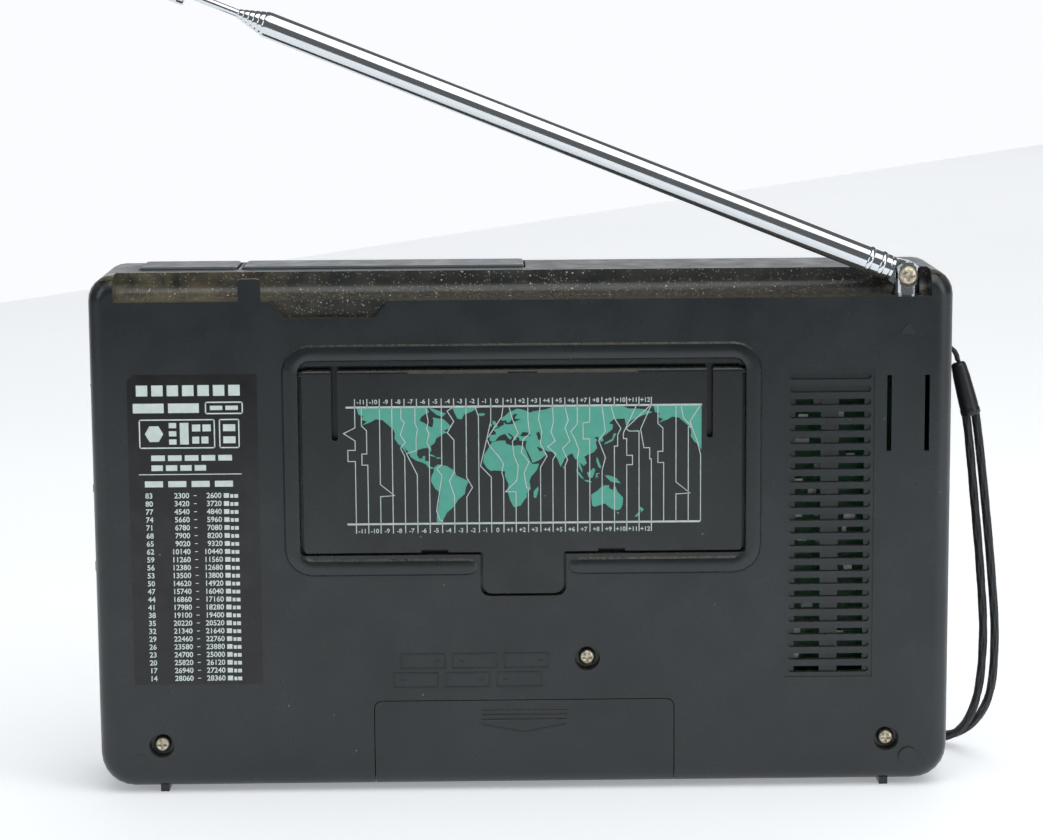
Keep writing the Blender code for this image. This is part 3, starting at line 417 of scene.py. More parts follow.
land_ink = ink("teal_screen_ink", "#54a794", "#4c9a88")
line_ink = ink("pale_grey_screen_ink", "#c3cdc9", "#a5b2ae")
water_ink = ink("clear_of_ink", "#1c2122", "#202627")
label_ink = ink("white_screen_ink", "#d5e0dc", "#bccac6")
legend_ink = ink("pale_legend_ink", "#d7dad8", "#bfc4c2")
moulded_mark = moulded("moulded_mark_abs", "#1b2021", 0.5, 0.3, 0.01, "#22282a")
label_film = moulded("black_label_film", "#040606", 0.22, 0.2, 0.001, "#070909", 0.12)
dust_felt = ink("dust_on_a_ledge", "#3f3b34", "#55503f")
paper_cone = moulded("pressed_paper_cone", "#17181a", 0.85, 0.3, 0.03, "#232527")
ferrite_core = moulded("sintered_ferrite", "#2c2d30", 0.55, 0.4, 0.02, "#3a3b3f")
print("inks and films made")


# %% Window, display and board
window_clear = new_finish("clear_polycarbonate", "#dfe4e1", 0.06, ior=1.58)
window_clear[2].inputs["Transmission Weight"].default_value = 1.0
window_clear[2].inputs["Coat Weight"].default_value = 0.3
smears = patches(window_clear[1], window_clear[3], 9.0, 0.03, 0.12)
window_clear[1].links.new(smears, window_clear[2].inputs["Roughness"])

lcd_glass = new_finish("lcd_glass", "#8d9a86", 0.25)
tint = patches(lcd_glass[1], lcd_glass[3], 30.0, 0.0, 0.4)
tinted = blend(lcd_glass[1], tint, linear("#8d9a86"), linear("#7f8d7b"))
lcd_glass[1].links.new(tinted, lcd_glass[2].inputs["Base Color"])
lcd_dark = ink("lcd_segment", "#1b201c", "#222822")

board_mask = new_finish("green_solder_mask", "#12603a", 0.35)
TRACK_MM = 1.3
tracks = add(
    board_mask[1],
    "ShaderNodeTexVoronoi",
    {"Vector": board_mask[3], "Scale": per_metre(TRACK_MM * 2.0), "Randomness": 0.6},
    feature="F1",
    distance="CHEBYCHEV",
)
edge = add(
    board_mask[1], "ShaderNodeMapRange", {"Value": tracks.outputs["Distance"], 1: 0.3, 2: 0.36}
)
laid = blend(board_mask[1], edge.outputs["Result"], linear("#0f5231"), linear("#1c7a4b"))
board_mask[1].links.new(laid, board_mask[2].inputs["Base Color"])
grain(board_mask[1], board_mask[2], board_mask[3], 0.9, 0.02, 0.4)

cell_sleeve = new_finish("printed_foil_sleeve", "#2a3350", 0.3, ior=1.5)
along = add(cell_sleeve[1], "ShaderNodeSeparateXYZ", {"Vector": cell_sleeve[3]}).outputs["X"]
CELL_PITCH_MM = 50.7
phase = add(
    cell_sleeve[1], "ShaderNodeMath", {0: along, 1: per_metre(CELL_PITCH_MM)}, operation="MULTIPLY"
)
round_cell = add(cell_sleeve[1], "ShaderNodeMath", {0: phase.outputs[0], 1: 0.5}, operation="ADD")
share = add(cell_sleeve[1], "ShaderNodeMath", {0: round_cell.outputs[0]}, operation="FRACT")
band = add(cell_sleeve[1], "ShaderNodeMapRange", {"Value": share.outputs[0], 1: 0.72, 2: 0.73})
striped = blend(cell_sleeve[1], band.outputs["Result"], linear("#20283f"), linear("#b8863a"))
cell_sleeve[1].links.new(striped, cell_sleeve[2].inputs["Base Color"])
rubbed = patches(cell_sleeve[1], cell_sleeve[3], 8.0, 0.22, 0.4)
cell_sleeve[1].links.new(rubbed, cell_sleeve[2].inputs["Roughness"])
window_clear, lcd_glass, board_mask, cell_sleeve = (
    window_clear[0], lcd_glass[0], board_mask[0], cell_sleeve[0]
)
print("window, display, board and cells made")

# %% [markdown]
# ## Helpers for pieces
#
# A finished piece's object stays at the origin and its place is in its mesh, so a pattern
# on object coordinates stays put. `settle` says which body a piece rides on and which plain
# solids it stands for.


# %% Pieces
def settle(made, body, stands_for=()):
    """Let a finished piece ride on a body."""
    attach(made, body)
    if stands_for:
        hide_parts(*stands_for)
    return made


def new_piece(name, mesh, finish, smooth=35.0):
    """A bmesh in metres as an object, smooth but for edges sharper than an angle."""
    data = bpy.data.meshes.new(name)
    mesh.to_mesh(data)
    mesh.free()
    data.materials.append(finish)
    data.shade_smooth()
    data.set_sharp_from_angle(angle=math.radians(smooth))
    made = bpy.data.objects.new(name, data)
    bpy.context.scene.collection.objects.link(made)
    return made


def made_plain(made):
    """Apply an object's modifiers: what they make becomes its own mesh."""
    seen = made.evaluated_get(bpy.context.evaluated_depsgraph_get())
    data = bpy.data.meshes.new_from_object(seen)
    made.modifiers.clear()
    made.data = data
    return made


def spin(profile, sides, turn, place):
    """A turned solid: (radius, height) pairs in millimetres, turned about a line.

    The first and last points are on the axis, or the profile is closed into a ring.
    """
    mesh = bmesh.new()
    ring_of = []
    for radius, height in profile:
        if radius < 1e-6:
            ring_of.append([mesh.verts.new((0.0, 0.0, height * MM))] * sides)
            continue
        ring = []
        for index in range(sides):
            angle = math.tau * index / sides
            spot = (radius * math.cos(angle), radius * math.sin(angle), height)
            ring.append(mesh.verts.new(Vector(spot) * MM))
        ring_of.append(ring)
    closed = profile[0][0] > 1e-6
    pairs = list(zip(ring_of, ring_of[1:]))
    if closed:
        pairs.append((ring_of[-1], ring_of[0]))
    for lower, upper in pairs:
        for index in range(sides):
            after = (index + 1) % sides
            corners = [lower[index], lower[after], upper[after], upper[index]]
            unique = list(dict.fromkeys(corners))
            if len(unique) > 2:
                mesh.faces.new(unique)
    bmesh.ops.recalc_face_normals(mesh, faces=mesh.faces)
    bmesh.ops.transform(mesh, matrix=Matrix.Translation(place) @ turn, verts=mesh.verts)
    return mesh


def polished(node, finish, width=0.16, sharp=30.0, stands_for=None, name=None):
    """A copy of a CAD solid with whole flat faces, softened edges and even shading."""
    mesh = bmesh.new()
    mesh.from_mesh(frame["nodes"][node].data)
    bmesh.ops.remove_doubles(mesh, verts=mesh.verts, dist=0.003 * MM)
    bmesh.ops.dissolve_limit(
        mesh, angle_limit=math.radians(0.4), verts=mesh.verts, edges=mesh.edges
    )
    made = new_piece(name or f"{node}_shell", mesh, finish, 32.0)
    if width:
        soft = made.modifiers.new("softened edges", "BEVEL")
        soft.width = width * MM
        soft.segments = 2
        soft.limit_method = "ANGLE"
        soft.angle_limit = math.radians(sharp)
        soft.use_clamp_overlap = True
    even = made.modifiers.new("even shading", "WEIGHTED_NORMAL")
    even.keep_sharp = True
    made_plain(made)
    return settle(made, BODY_OF[node], stands_for or (node,))


def refinish(finish, *nodes):
    """Give CAD solids that keep their shape a better material."""
    for node in nodes:
        data = frame["nodes"][node].data
        data.materials.clear()
        data.materials.append(finish)


print("helpers for pieces ready")

# %% [markdown]
# ## The wrist strap
#
# A braided nylon cord a little over two millimetres thick. Both its ends return into one
# moulded sleeve, which hangs by a thin loop from the eyelet in the case's side. The two
# strands run down the side and round in front of the set, where their far loop lies on
# the table. The route is the same as the CAD cord's. A braid is two families of threads
# that wind opposite ways, so the tube's radius rises and falls where the families cross.

# %% The strap's route
STRAP_ROUTE = (
    ((-105.7, 0.4, 84.3), 1.12),
    ((-106.6, 0.3, 78.0), 1.15),
    ((-108.3, -0.6, 64.0), 1.25),
    ((-110.4, -2.4, 46.0), 1.3),
    ((-112.0, -5.6, 29.0), 1.4),
    ((-111.6, -10.0, 13.5), 1.45),
    ((-108.0, -15.8, 3.8), 1.4),
    ((-101.5, -21.4, 0.1), 1.4),
    ((-92.0, -25.0, -0.2), 1.6),
    ((-80.0, -26.6, -0.2), 2.2),
    ((-68.0, -27.4, -0.2), 3.6),
    ((-58.0, -27.6, -0.2), 4.9),
)
STRAP_TURN = ((-53.2, -22.9, -0.2), (-50.9, -27.6, -0.2), (-53.2, -32.3, -0.2))
STRAP_RADIUS = 1.05


def strap_strands():
    """The two strands, to either side of the route's middle line."""
    middle = [Vector(place) for place, _ in STRAP_ROUTE]
    out, back = [], []
    for index, (point, (_, away)) in enumerate(zip(middle, STRAP_ROUTE)):
        ahead = middle[min(index + 1, len(middle) - 1)] - middle[max(index - 1, 0)]
        flat = Vector((-ahead.y, ahead.x, 0.0))
        steep = abs(ahead.normalized().z) >= 0.9
        side = Vector((1.0, 0.0, 0.0)) if steep else flat.normalized()
        out.append(point + side * away)
        back.append(point - side * away)
    return out, back


def smooth_path(points, step):
    """Points every so many millimetres along a smooth curve through the given ones."""
    points = [Vector(p) for p in points]
    fine = []
    for index in range(len(points) - 1):
        before = points[max(index - 1, 0)]
        a, b = points[index], points[index + 1]
        after = points[min(index + 2, len(points) - 1)]
        for part in range(24):
            t = part / 24
            straight = 2 * a + (b - before) * t
            bend = (2 * before - 5 * a + 4 * b - after) * t**2
            twist = (3 * a - before - 3 * b + after) * t**3
            fine.append((straight + bend + twist) / 2)
    fine.append(points[-1])
    lengths = [0.0]
    for a, b in zip(fine, fine[1:]):
        lengths.append(lengths[-1] + (b - a).length)
    count = max(2, round(lengths[-1] / step))
    path, place = [], 0
    for index in range(count + 1):
        want = lengths[-1] * index / count
        while place < len(fine) - 2 and lengths[place + 1] < want:
            place += 1
        share = (want - lengths[place]) / (lengths[place + 1] - lengths[place])
        path.append(fine[place].lerp(fine[place + 1], share))
    return path


strand_out, strand_back = strap_strands()
strap_points = strand_out + [Vector(p) for p in STRAP_TURN] + list(reversed(strand_back))
strap_path = [at(*point) for point in smooth_path(strap_points, 0.15)]


# %% The braided tube
def swept(path, radius_at, sides):
    """A closed tube along a path; radius_at(distance, angle) gives its radius in metres."""
    mesh = bmesh.new()
    ahead = (path[1] - path[0]).normalized()
    side = ahead.orthogonal().normalized()
    rings, run = [], 0.0
    for index, point in enumerate(path):
        after = path[min(index + 1, len(path) - 1)]
        before = path[max(index - 1, 0)]
        ahead = (after - before).normalized()
        side = (side - ahead * side.dot(ahead)).normalized()
        other = ahead.cross(side)
        if index:
            run += (point - path[index - 1]).length
        ring = []
        for step in range(sides):
            angle = math.tau * step / sides
            away = side * math.cos(angle) + other * math.sin(angle)
            ring.append(mesh.verts.new(point + away * radius_at(run, angle)))
        rings.append(ring)
    for lower, upper in zip(rings, rings[1:]):
        for step in range(sides):
            after = (step + 1) % sides
            mesh.faces.new((lower[step], lower[after], upper[after], upper[step]))
    mesh.faces.new(list(reversed(rings[0])))
    mesh.faces.new(rings[-1])
    bmesh.ops.recalc_face_normals(mesh, faces=mesh.faces)
    return mesh


BRAID_PITCH = 9.6
BRAID_DEPTH = 0.145
STRANDS = 6


def braid(run, angle):
    """The cord's radius: two families of strands that cross."""
    turn = math.tau * run / (BRAID_PITCH * MM)
    one = math.cos(STRANDS * angle + turn)
    other = math.cos(STRANDS * angle - turn)
    return (STRAP_RADIUS - 0.15 + BRAID_DEPTH * max(one, other)) * MM


nylon, nylon_tree, nylon_shader, nylon_place = new_finish("braided_black_nylon", "#0c0e10", 0.5)
grain(nylon_tree, nylon_shader, nylon_place, 0.14, 0.03, 0.9)
thread = patches(nylon_tree, nylon_place, 0.5, 0.0, 0.6, 5.0)
lint = specks(nylon_tree, nylon_place, 2.0, 0.09, 0.2)
yarn = blend(nylon_tree, thread, linear("#0b0d0f"), linear("#1e2326"))
yarn = blend(nylon_tree, lint, yarn, linear("#84827a"))
nylon_tree.links.new(yarn, nylon_shader.inputs["Base Color"])
nylon_shader.inputs["Sheen Weight"].default_value = 0.12
strap = new_piece("wrist_strap_braid", swept(strap_path, braid, 32), nylon, 80.0)
settle(strap, "case", ("wrist_strap",))
print("strap faces", len(strap.data.polygons))

# %% [markdown]
# The sleeve is a soft moulding, narrower at the loop, with two faint ridges where the
# tool's halves meet the cord. It is turned about its own leaning axis.

# %% Sleeve and thin loop
sleeve_low, sleeve_high = at(-105.6, 0.4, 84.9), at(-102.6, 0.0, 96.4)
sleeve_axis = sleeve_high - sleeve_low
sleeve_length = sleeve_axis.length / MM
sleeve_profile = [
    (0.0, -0.9),
    (2.1, -0.9),
    (2.33, -0.65),
    (2.35, 0.4),
    (2.2, 0.95),
    (2.26, 1.3),
    (2.24, 2.2),
    (2.0, sleeve_length - 3.4),
    (1.78, sleeve_length - 1.0),
    (1.66, sleeve_length - 0.35),
    (1.3, sleeve_length),
    (0.0, sleeve_length),
]
sleeve_turn = sleeve_axis.to_track_quat("Z", "Y").to_matrix().to_4x4()
sleeve = new_piece(
    "strap_sleeve_moulding", spin(sleeve_profile, 40, sleeve_turn, sleeve_low), sleeve_rubber, 50.0
)
settle(sleeve, "case", ("strap_sleeve",))
loop_points = [(-102.6, -0.75, 96.75), (-102.0, -1.7, 98.6), (-100.8, -2.2, 100.0)]
loop_points += [(-99.0, -2.2, 100.8), (-97.9, -1.5, 101.0), (-97.5, 0.0, 101.1)]
loop_points += [(x, -y, z) for x, y, z in reversed(loop_points[:-1])]
loop_path = [at(*point) for point in smooth_path(loop_points, 0.3)]


def twist(run, angle):
    """A thin two-ply twine's radius."""
    return (0.46 + 0.04 * math.cos(2 * angle + math.tau * run / (1.6 * MM))) * MM


loop = new_piece("strap_loop_twine", swept(loop_path, twist, 12), nylon, 80.0)
settle(loop, "case", ("strap_loop",))
print("sleeve", round(sleeve_length, 1), "mm long")

# %% [markdown]
# ## Table, backdrop and light
#
# A white paper table whose far edge runs a little askew, a brighter backdrop, one big soft
# light overhead, and a dim room behind the camera. The dim room matters: it keeps the black
# plastic black and puts the dark bands in the chrome.

# %% Table and backdrop
floor_mesh = bmesh.new()
floor_corners = ((-3.0, 0.6), (1.08, 0.6), (0.3, -1.0), (-0.55, -2.39), (-1.6, -4.1), (-3.0, -4.1))
floor_mesh.faces.new([floor_mesh.verts.new((x, y, 0.0)) for x, y in floor_corners])
bmesh.ops.recalc_face_normals(floor_mesh, faces=floor_mesh.faces)
if floor_mesh.faces[:][0].normal.z < 0:
    bmesh.ops.reverse_faces(floor_mesh, faces=floor_mesh.faces)
paper, paper_tree, paper_shader, paper_place = new_finish("white_backing_paper", "#f4f5f6", 0.8)
mottle = patches(paper_tree, paper_place, 160.0, 0.0, 0.6)
sheet_tone = blend(paper_tree, mottle, linear("#f2f4f6"), linear("#f7f8f9"))
paper_tree.links.new(sheet_tone, paper_shader.inputs["Base Color"])
paper_shader.inputs["Emission Color"].default_value = linear("#f2f4f8")
paper_shader.inputs["Emission Strength"].default_value = 0.33
floor = new_piece("paper_table", floor_mesh, paper)
glow = bpy.data.materials.new("lit_backdrop")
glow.use_nodes = True
glow.node_tree.nodes.clear()
lamp = add(glow.node_tree, "ShaderNodeEmission", {"Color": linear("#fbfcff"), "Strength": 1.0})
out = add(glow.node_tree, "ShaderNodeOutputMaterial", {"Surface": lamp.outputs["Emission"]})
wall_mesh = bmesh.new()
wall_corners = ((-6.0, -4.5, -2.5), (6.0, -4.5, -2.5), (6.0, -4.5, 1.9), (-6.0, -4.5, 1.9))
wall_mesh.faces.new([wall_mesh.verts.new(corner) for corner in wall_corners])
wall = new_piece("backdrop", wall_mesh, glow)
print("the table's near edge is", floor_corners[0][1], "m in front")


# %% Lights
def softbox(name, place, aim, size, power, colour="#ffffff"):
    """A square area light at a place, facing a point."""
    light = bpy.data.lights.new(name, "AREA")
    light.shape = "RECTANGLE"
    light.size, light.size_y = size
    light.energy = power
    light.color = linear(colour)[:3]
    made = bpy.data.objects.new(name, light)
    direction = Vector(aim) - Vector(place)
    turn = direction.to_track_quat("-Z", "Y").to_matrix().to_4x4()
    made.matrix_world = Matrix.Translation(place) @ turn
    bpy.context.scene.collection.objects.link(made)
    return made


softbox("overhead_softbox", (-0.3, 0.6, 1.1), (-0.2, 0.5, 0.0), (1.35, 1.15), 9.0)
softbox("left_softbox", (1.2, 0.9, 0.7), (0.0, 0.0, 0.08), (0.5, 0.9), 3.0, "#f4faff")
softbox("right_softbox", (-1.1, 0.8, 0.5), (0.0, 0.0, 0.08), (0.6, 0.9), 4.5, "#f0f8ff")
HIDDEN_LIGHTS = (("far_floor_light", (-0.5, -1.9, 1.8), 16.0), ("top_light", (0.0, -0.2, 1.2), 4.0))
for name, place, power in HIDDEN_LIGHTS:
    aim = (place[0], place[1] + 0.2, 0.0)
    hidden = softbox(name, place, aim, (2.4, 1.2), power)
    hidden.visible_glossy = False
world = bpy.data.worlds.new("dim_room")
world.use_nodes = True
world.node_tree.nodes["Background"].inputs["Color"].default_value = linear("#eef3f6")
world.node_tree.nodes["Background"].inputs["Strength"].default_value = 0.16
bpy.context.scene.world = world
bpy.context.scene.view_settings.view_transform = "Standard"
print("five lights and a dim room")

# %% [markdown]
# ## The case
#
# The shells keep the CAD's shapes. Their CAD meshes are loose triangles, so each is copied,
# its doubles merged, its flat faces made whole and its edges softened by a sixth of a
# millimetre, which is what catches the light along a real moulding's rims.

# %% Shells
shells = [
    polished("rear_cover", cover_abs, 0.24),
    polished("front_cabinet", cabinet_abs, 0.2),
    polished("side_panel_right", panel_abs, 0.12),
    polished("side_panel_left", panel_abs, 0.12),
    polished("battery_door", door_abs, 0.16),
    polished("tilt_stand", stand_abs, 0.12),
]
for shell in shells:
    print(shell.name, len(shell.data.polygons), "faces")

# %% [markdown]
# ## Geometry Nodes for what repeats
#
# A screw is modelled once and placed many times; so are the lines of the map, the wheel's
# ribs and the parts on the board. One tree copies a shape to every point of a mesh.
# Another rules parallel lines. Each ends in Realize Instances, so that the copies become
# real mesh, and Set Material.


# %% Trees
def new_tree(name, inputs):
    """An empty Geometry Nodes tree with named inputs; gives its ends and identifiers."""
    tree = bpy.data.node_groups.new(name, "GeometryNodeTree")
    tree.interface.new_socket("Points", in_out="INPUT", socket_type="NodeSocketGeometry")
    keys = {}
    for label, kind in inputs.items():
        socket = tree.interface.new_socket(label, in_out="INPUT", socket_type=kind)
        keys[label] = socket.identifier
    tree.interface.new_socket("Geometry", in_out="OUTPUT", socket_type="NodeSocketGeometry")
    return tree, add(tree, "NodeGroupInput"), keys


def end_tree(tree, instances, finish):
    """Make the copies real, give them their material and hand them out."""
    real = add(tree, "GeometryNodeRealizeInstances", {"Geometry": instances})
    coloured = add(
        tree, "GeometryNodeSetMaterial", {"Geometry": real.outputs["Geometry"], "Material": finish}
    )
    add(tree, "NodeGroupOutput", {0: coloured.outputs["Geometry"]})


def copier():
    """A tree that puts a copy of an object's shape on every point, turned by its own input."""
    inputs = {
        "Shape": "NodeSocketObject", "Turn": "NodeSocketVector", "Finish": "NodeSocketMaterial"
    }
    tree, start, keys = new_tree("copies_on_points", inputs)
    shape = add(tree, "GeometryNodeObjectInfo", {"Object": start.outputs["Shape"]})
    turn = add(tree, "FunctionNodeEulerToRotation", {"Euler": start.outputs["Turn"]})
    put = add(
        tree,
        "GeometryNodeInstanceOnPoints",
        {
            "Points": start.outputs["Points"],
            "Instance": shape.outputs["Geometry"],
            "Rotation": turn.outputs["Rotation"],
        },
    )
    end_tree(tree, put.outputs["Instances"], start.outputs["Finish"])
    return tree, keys


def ruler():
    """A tree that rules parallel upright strips, a pitch apart, from each given point."""
    inputs = {
        "Count": "NodeSocketInt",
        "Pitch": "NodeSocketFloat",
        "Width": "NodeSocketFloat",
        "Height": "NodeSocketFloat",
        "Thickness": "NodeSocketFloat",
        "Finish": "NodeSocketMaterial",
    }
    tree, start, keys = new_tree("ruled_strips", inputs)
    back = add(tree, "ShaderNodeMath", {0: start.outputs["Pitch"], 1: -1.0}, operation="MULTIPLY")
    step = add(tree, "ShaderNodeCombineXYZ", {"X": back.outputs[0]})
    row = add(
        tree,
        "GeometryNodeMeshLine",
        {"Count": start.outputs["Count"], "Offset": step.outputs["Vector"]},
    )
    size = add(
        tree,
        "ShaderNodeCombineXYZ",
        {
            "X": start.outputs["Width"],
            "Y": start.outputs["Thickness"],
            "Z": start.outputs["Height"],
        },
    )
    strip = add(tree, "GeometryNodeMeshCube", {"Size": size.outputs["Vector"]})
    ruled = add(
        tree,
        "GeometryNodeInstanceOnPoints",
        {"Points": row.outputs["Mesh"], "Instance": strip.outputs["Mesh"]},
    )
    placed = add(
        tree,
        "GeometryNodeInstanceOnPoints",
        {"Points": start.outputs["Points"], "Instance": ruled.outputs["Instances"]},
    )
    end_tree(tree, placed.outputs["Instances"], start.outputs["Finish"])
    return tree, keys


def grown(name, tree_and_keys, points, sizes, smooth=35.0):
    """Run a tree on some points and keep the result as a plain mesh."""
    tree, keys = tree_and_keys
    data = bpy.data.meshes.new(name)
    data.from_pydata(points, [], [])
    made = bpy.data.objects.new(name, data)
    bpy.context.scene.collection.objects.link(made)
    step = made.modifiers.new(name, "NODES")
    step.node_group = tree
    for label, value in sizes.items():
        step[keys[label]] = value
    made_plain(made)
    made.data.shade_smooth()
    made.data.set_sharp_from_angle(angle=math.radians(smooth))
    return made


COPIER, RULER = copier(), ruler()
print("trees:", COPIER[0].name, RULER[0].name)

# %% [markdown]
# ## Screws
#
# The case is held by three tapping screws with domed heads and cross recesses, sunk in
# round wells. One head is turned and its cross cut; the tree then places it. The antenna's
# pivot screw is a larger one of the same kind.


# %% Screw heads
def screw_head(name, profile, reach, half, deep):
    """A domed head about its own Z with a cross recess cut into its top."""
    mesh = spin(profile, 48, Matrix.Identity(4), Vector())
    top = max(height for _, height in profile)
    head = new_piece(name, mesh, nickel)
    for long_x, long_y in ((reach, half), (half, reach)):
        size = Matrix.Diagonal((2 * long_x * MM, 2 * long_y * MM, 2 * deep * MM, 1.0))
        matrix = Matrix.Translation((0.0, 0.0, top * MM)) @ size
        arm = bmesh.new()
        bmesh.ops.create_cube(arm, size=1.0, matrix=matrix)
        cutter = new_piece("cross_cutter", arm, nickel)
        step = head.modifiers.new("cross", "BOOLEAN")
        step.operation = "DIFFERENCE"
        step.object = cutter
        made_plain(head)
        bpy.data.objects.remove(cutter)
    soft = head.modifiers.new("softened edges", "BEVEL")
    soft.width = 0.05 * MM
    soft.segments = 2
    soft.limit_method = "ANGLE"
    made_plain(head)
    return head


case_head = [(0.0, 1.5), (0.6, 1.47), (1.15, 1.36), (1.6, 1.08), (1.9, 0.65), (2.0, 0.3)]
case_head += [(2.0, 0.0), (1.15, 0.0), (1.15, -17.0), (0.4, -18.0), (0.0, -18.0)]
head = screw_head("case_screw_pattern", case_head, 1.15, 0.28, 0.8)
SCREW_SINK = 2.1
SCREW_PLACES = ((84.4, 10.3), (-14.7, 30.2), (-84.4, 10.3))
points = [at(x, BACK - SCREW_SINK, z) for x, z in SCREW_PLACES]
sizes = {"Shape": head, "Turn": (math.radians(-90.0), 0.0, 0.0), "Finish": nickel}
screws = grown("case_screws", COPIER, points, sizes, 40.0)
settle(screws, "case", ("case_screw_1", "case_screw_2", "case_screw_3"))
bpy.data.objects.remove(head)
pivot_head = [(0.0, 1.1), (0.9, 1.05), (1.5, 0.86), (2.0, 0.5), (2.3, 0.12), (2.3, 0.0)]
pivot_head += [(1.1, 0.0), (1.1, -5.6), (0.0, -5.6)]
head = screw_head("pivot_screw_pattern", pivot_head, 1.3, 0.3, 0.65)
points = [at(PIVOT[0], PIVOT[1] + 2.8, PIVOT[2])]
sizes = {"Shape": head, "Turn": (math.radians(-90.0), 0.0, 0.0), "Finish": nickel}
pivot_screw = grown("pivot_screw", COPIER, points, sizes, 40.0)
settle(pivot_screw, BODY_OF["antenna_pivot_screw"], ("antenna_pivot_screw",))
bpy.data.objects.remove(head)
print("screws:", len(screws.data.polygons), "faces")

# %% [markdown]
# ## The antenna
#
# Five thin-walled brass tubes slide in the main one, and a rod with a tip in the smallest.
# Each tube's end is rolled in over the next, which gives the bright little steps. They are
# turned with 64 sides about the raised line, so that the chrome reflects smoothly.

# %% Tubes and tip
TUBE_RADII = (3.0, 2.65, 2.3, 1.95, 1.6, 1.25)
TUBE_START, TUBE_END, CRIMP, TUBE_WALL = 4.6, 157.3, 1.2, 0.25
ROD_RADIUS, ROD_PULLED = 0.9, 12.0
along_antenna = Matrix.Rotation(math.pi / 2 - RAISED, 4, "Y")
pivot_point = at(*PIVOT)
names = ["antenna_tube"] + [f"antenna_section_{number}" for number in range(2, 7)]
for index, (node, radius) in enumerate(zip(names, TUBE_RADII)):
    bore = radius - TUBE_WALL
    first = TUBE_START if index == 0 else 9.5 + index * 0.5
    last = TUBE_END + index * CRIMP
    profile = [(bore + 0.03, last), (radius - 0.16, last - 0.12), (radius - 0.05, last - 0.5)]
    profile += [(radius, last - CRIMP)]
    if index == 0:
        for middle in (9.4, 6.4):
            profile += [(radius, middle + 0.6), (radius + 0.17, middle + 0.42)]
            profile += [(radius + 0.25, middle + 0.15), (radius + 0.25, middle - 0.15)]
            profile += [(radius + 0.17, middle - 0.42), (radius, middle - 0.6)]
    profile += [(radius, first), (bore, first), (bore, last - CRIMP)]
    tube = spin(profile, 64, along_antenna, pivot_point)
    made = new_piece(f"{node}_turned", tube, chrome, 28.0)
    settle(made, BODY_OF[node], (node,))
base = TUBE_END + 5 * CRIMP + 0.3 + ROD_PULLED
profile = [(0.0, base + 5.6), (1.0, base + 5.52), (1.9, base + 5.2), (2.6, base + 4.6)]
profile += [(2.92, base + 3.8), (3.0, base + 3.0), (3.0, base + 0.3), (2.8, base)]
profile += [(ROD_RADIUS, base), (ROD_RADIUS, 26.0), (0.0, 26.0)]
tip = new_piece("antenna_tip_turned", spin(profile, 64, along_antenna, pivot_point), chrome, 35.0)
settle(tip, BODY_OF["antenna_tip"], ("antenna_tip",))
polished("antenna_post", chrome, 0.18, 35.0)
polished("antenna_knuckle", chrome, 0.12, 35.0)
print("antenna reaches", round(base + 5.6, 1), "mm from its pivot")

# %% [markdown]
# ## Prints
#
# Ink is drawn as flat plates a few hundredths of a millimetre thick, laid on the surface.
# Outlines are polygons; blocks and strips are small boxes. Everything on the back faces
# +Y, so a drawing's left edge lies at high X.


# %% Plates of ink
INK = 0.035


def add_plate(mesh, outline, depth, thick=INK):
    """Add a flat plate with an (x, z) outline on a face; a negative one faces the front."""
    sunk = math.copysign(0.02, thick)
    lower = [mesh.verts.new(at(x, depth - sunk, z)) for x, z in outline]
    upper = [mesh.verts.new(at(x, depth + thick, z)) for x, z in outline]
    if len(outline) > 4:
        flat = [Vector((x, z, 0.0)) for x, z in outline]
        triangles = tessellate_polygon([flat])
    else:
        triangles = [tuple(range(len(outline)))]
    for corners in triangles:
        mesh.faces.new([lower[corner] for corner in corners])
        mesh.faces.new([upper[corner] for corner in reversed(corners)])
    for index in range(len(outline)):
        after = (index + 1) % len(outline)
        mesh.faces.new((lower[index], upper[index], upper[after], lower[after]))


def print_piece(name, mesh, finish, body):
    """Finish a print: outward normals, crisp edges."""
    bmesh.ops.recalc_face_normals(mesh, faces=mesh.faces)
    made = new_piece(name, mesh, finish, 20.0)
    return settle(made, body)


def add_line(mesh, points, width, depth, thick=INK):
    """Add a printed line through (x, z) points, with mitred corners."""
    points = [Vector(point) for point in points]
    left, right = [], []
    for index, point in enumerate(points):
        before = (point - points[index - 1]).normalized() if index else None
        after = (points[index + 1] - point).normalized() if index < len(points) - 1 else None
        ahead = ((before or after) + (after or before)).normalized()
        side = Vector((-ahead.y, ahead.x))
        bend = (before or after).dot(ahead)
        reach = width / 2 / max(bend, 0.5)
        left.append(point + side * reach)
        right.append(point - side * reach)
    for index in range(len(points) - 1):
        outline = (left[index], left[index + 1], right[index + 1], right[index])
        add_plate(mesh, [tuple(corner) for corner in outline], depth, thick)


def add_block(mesh, left, right, low, high, depth, thick=INK):
    """Add an upright printed rectangle between two X and two heights."""
    add_plate(mesh, ((left, low), (left, high), (right, high), (right, low)), depth, thick)


def add_words(mesh, words, tall, x, z, depth, front=False, align="CENTER"):
    """Add printed figures of a height in millimetres, standing on a height z."""
    curve = bpy.data.curves.new("figures", "FONT")
    curve.body = words
    curve.align_x = align
    curve.offset = 0.018
    curve.resolution_u = 3
    scale = tall / FIGURE_HEIGHT
    curve.extrude = INK / scale
    holder = bpy.data.objects.new("figures", curve)
    bpy.context.scene.collection.objects.link(holder)
    data = bpy.data.meshes.new_from_object(
        holder.evaluated_get(bpy.context.evaluated_depsgraph_get())
    )
    bpy.data.objects.remove(holder)
    way = 1.0 if front else -1.0
    turn = Matrix(((way, 0, 0, 0), (0, 0, -way, 0), (0, 1, 0, 0), (0, 0, 0, 1)))
    data.transform(Matrix.Translation(at(x, depth, z)) @ turn @ Matrix.Scale(scale * MM, 4))
    mesh.from_mesh(data)
    bpy.data.meshes.remove(data)


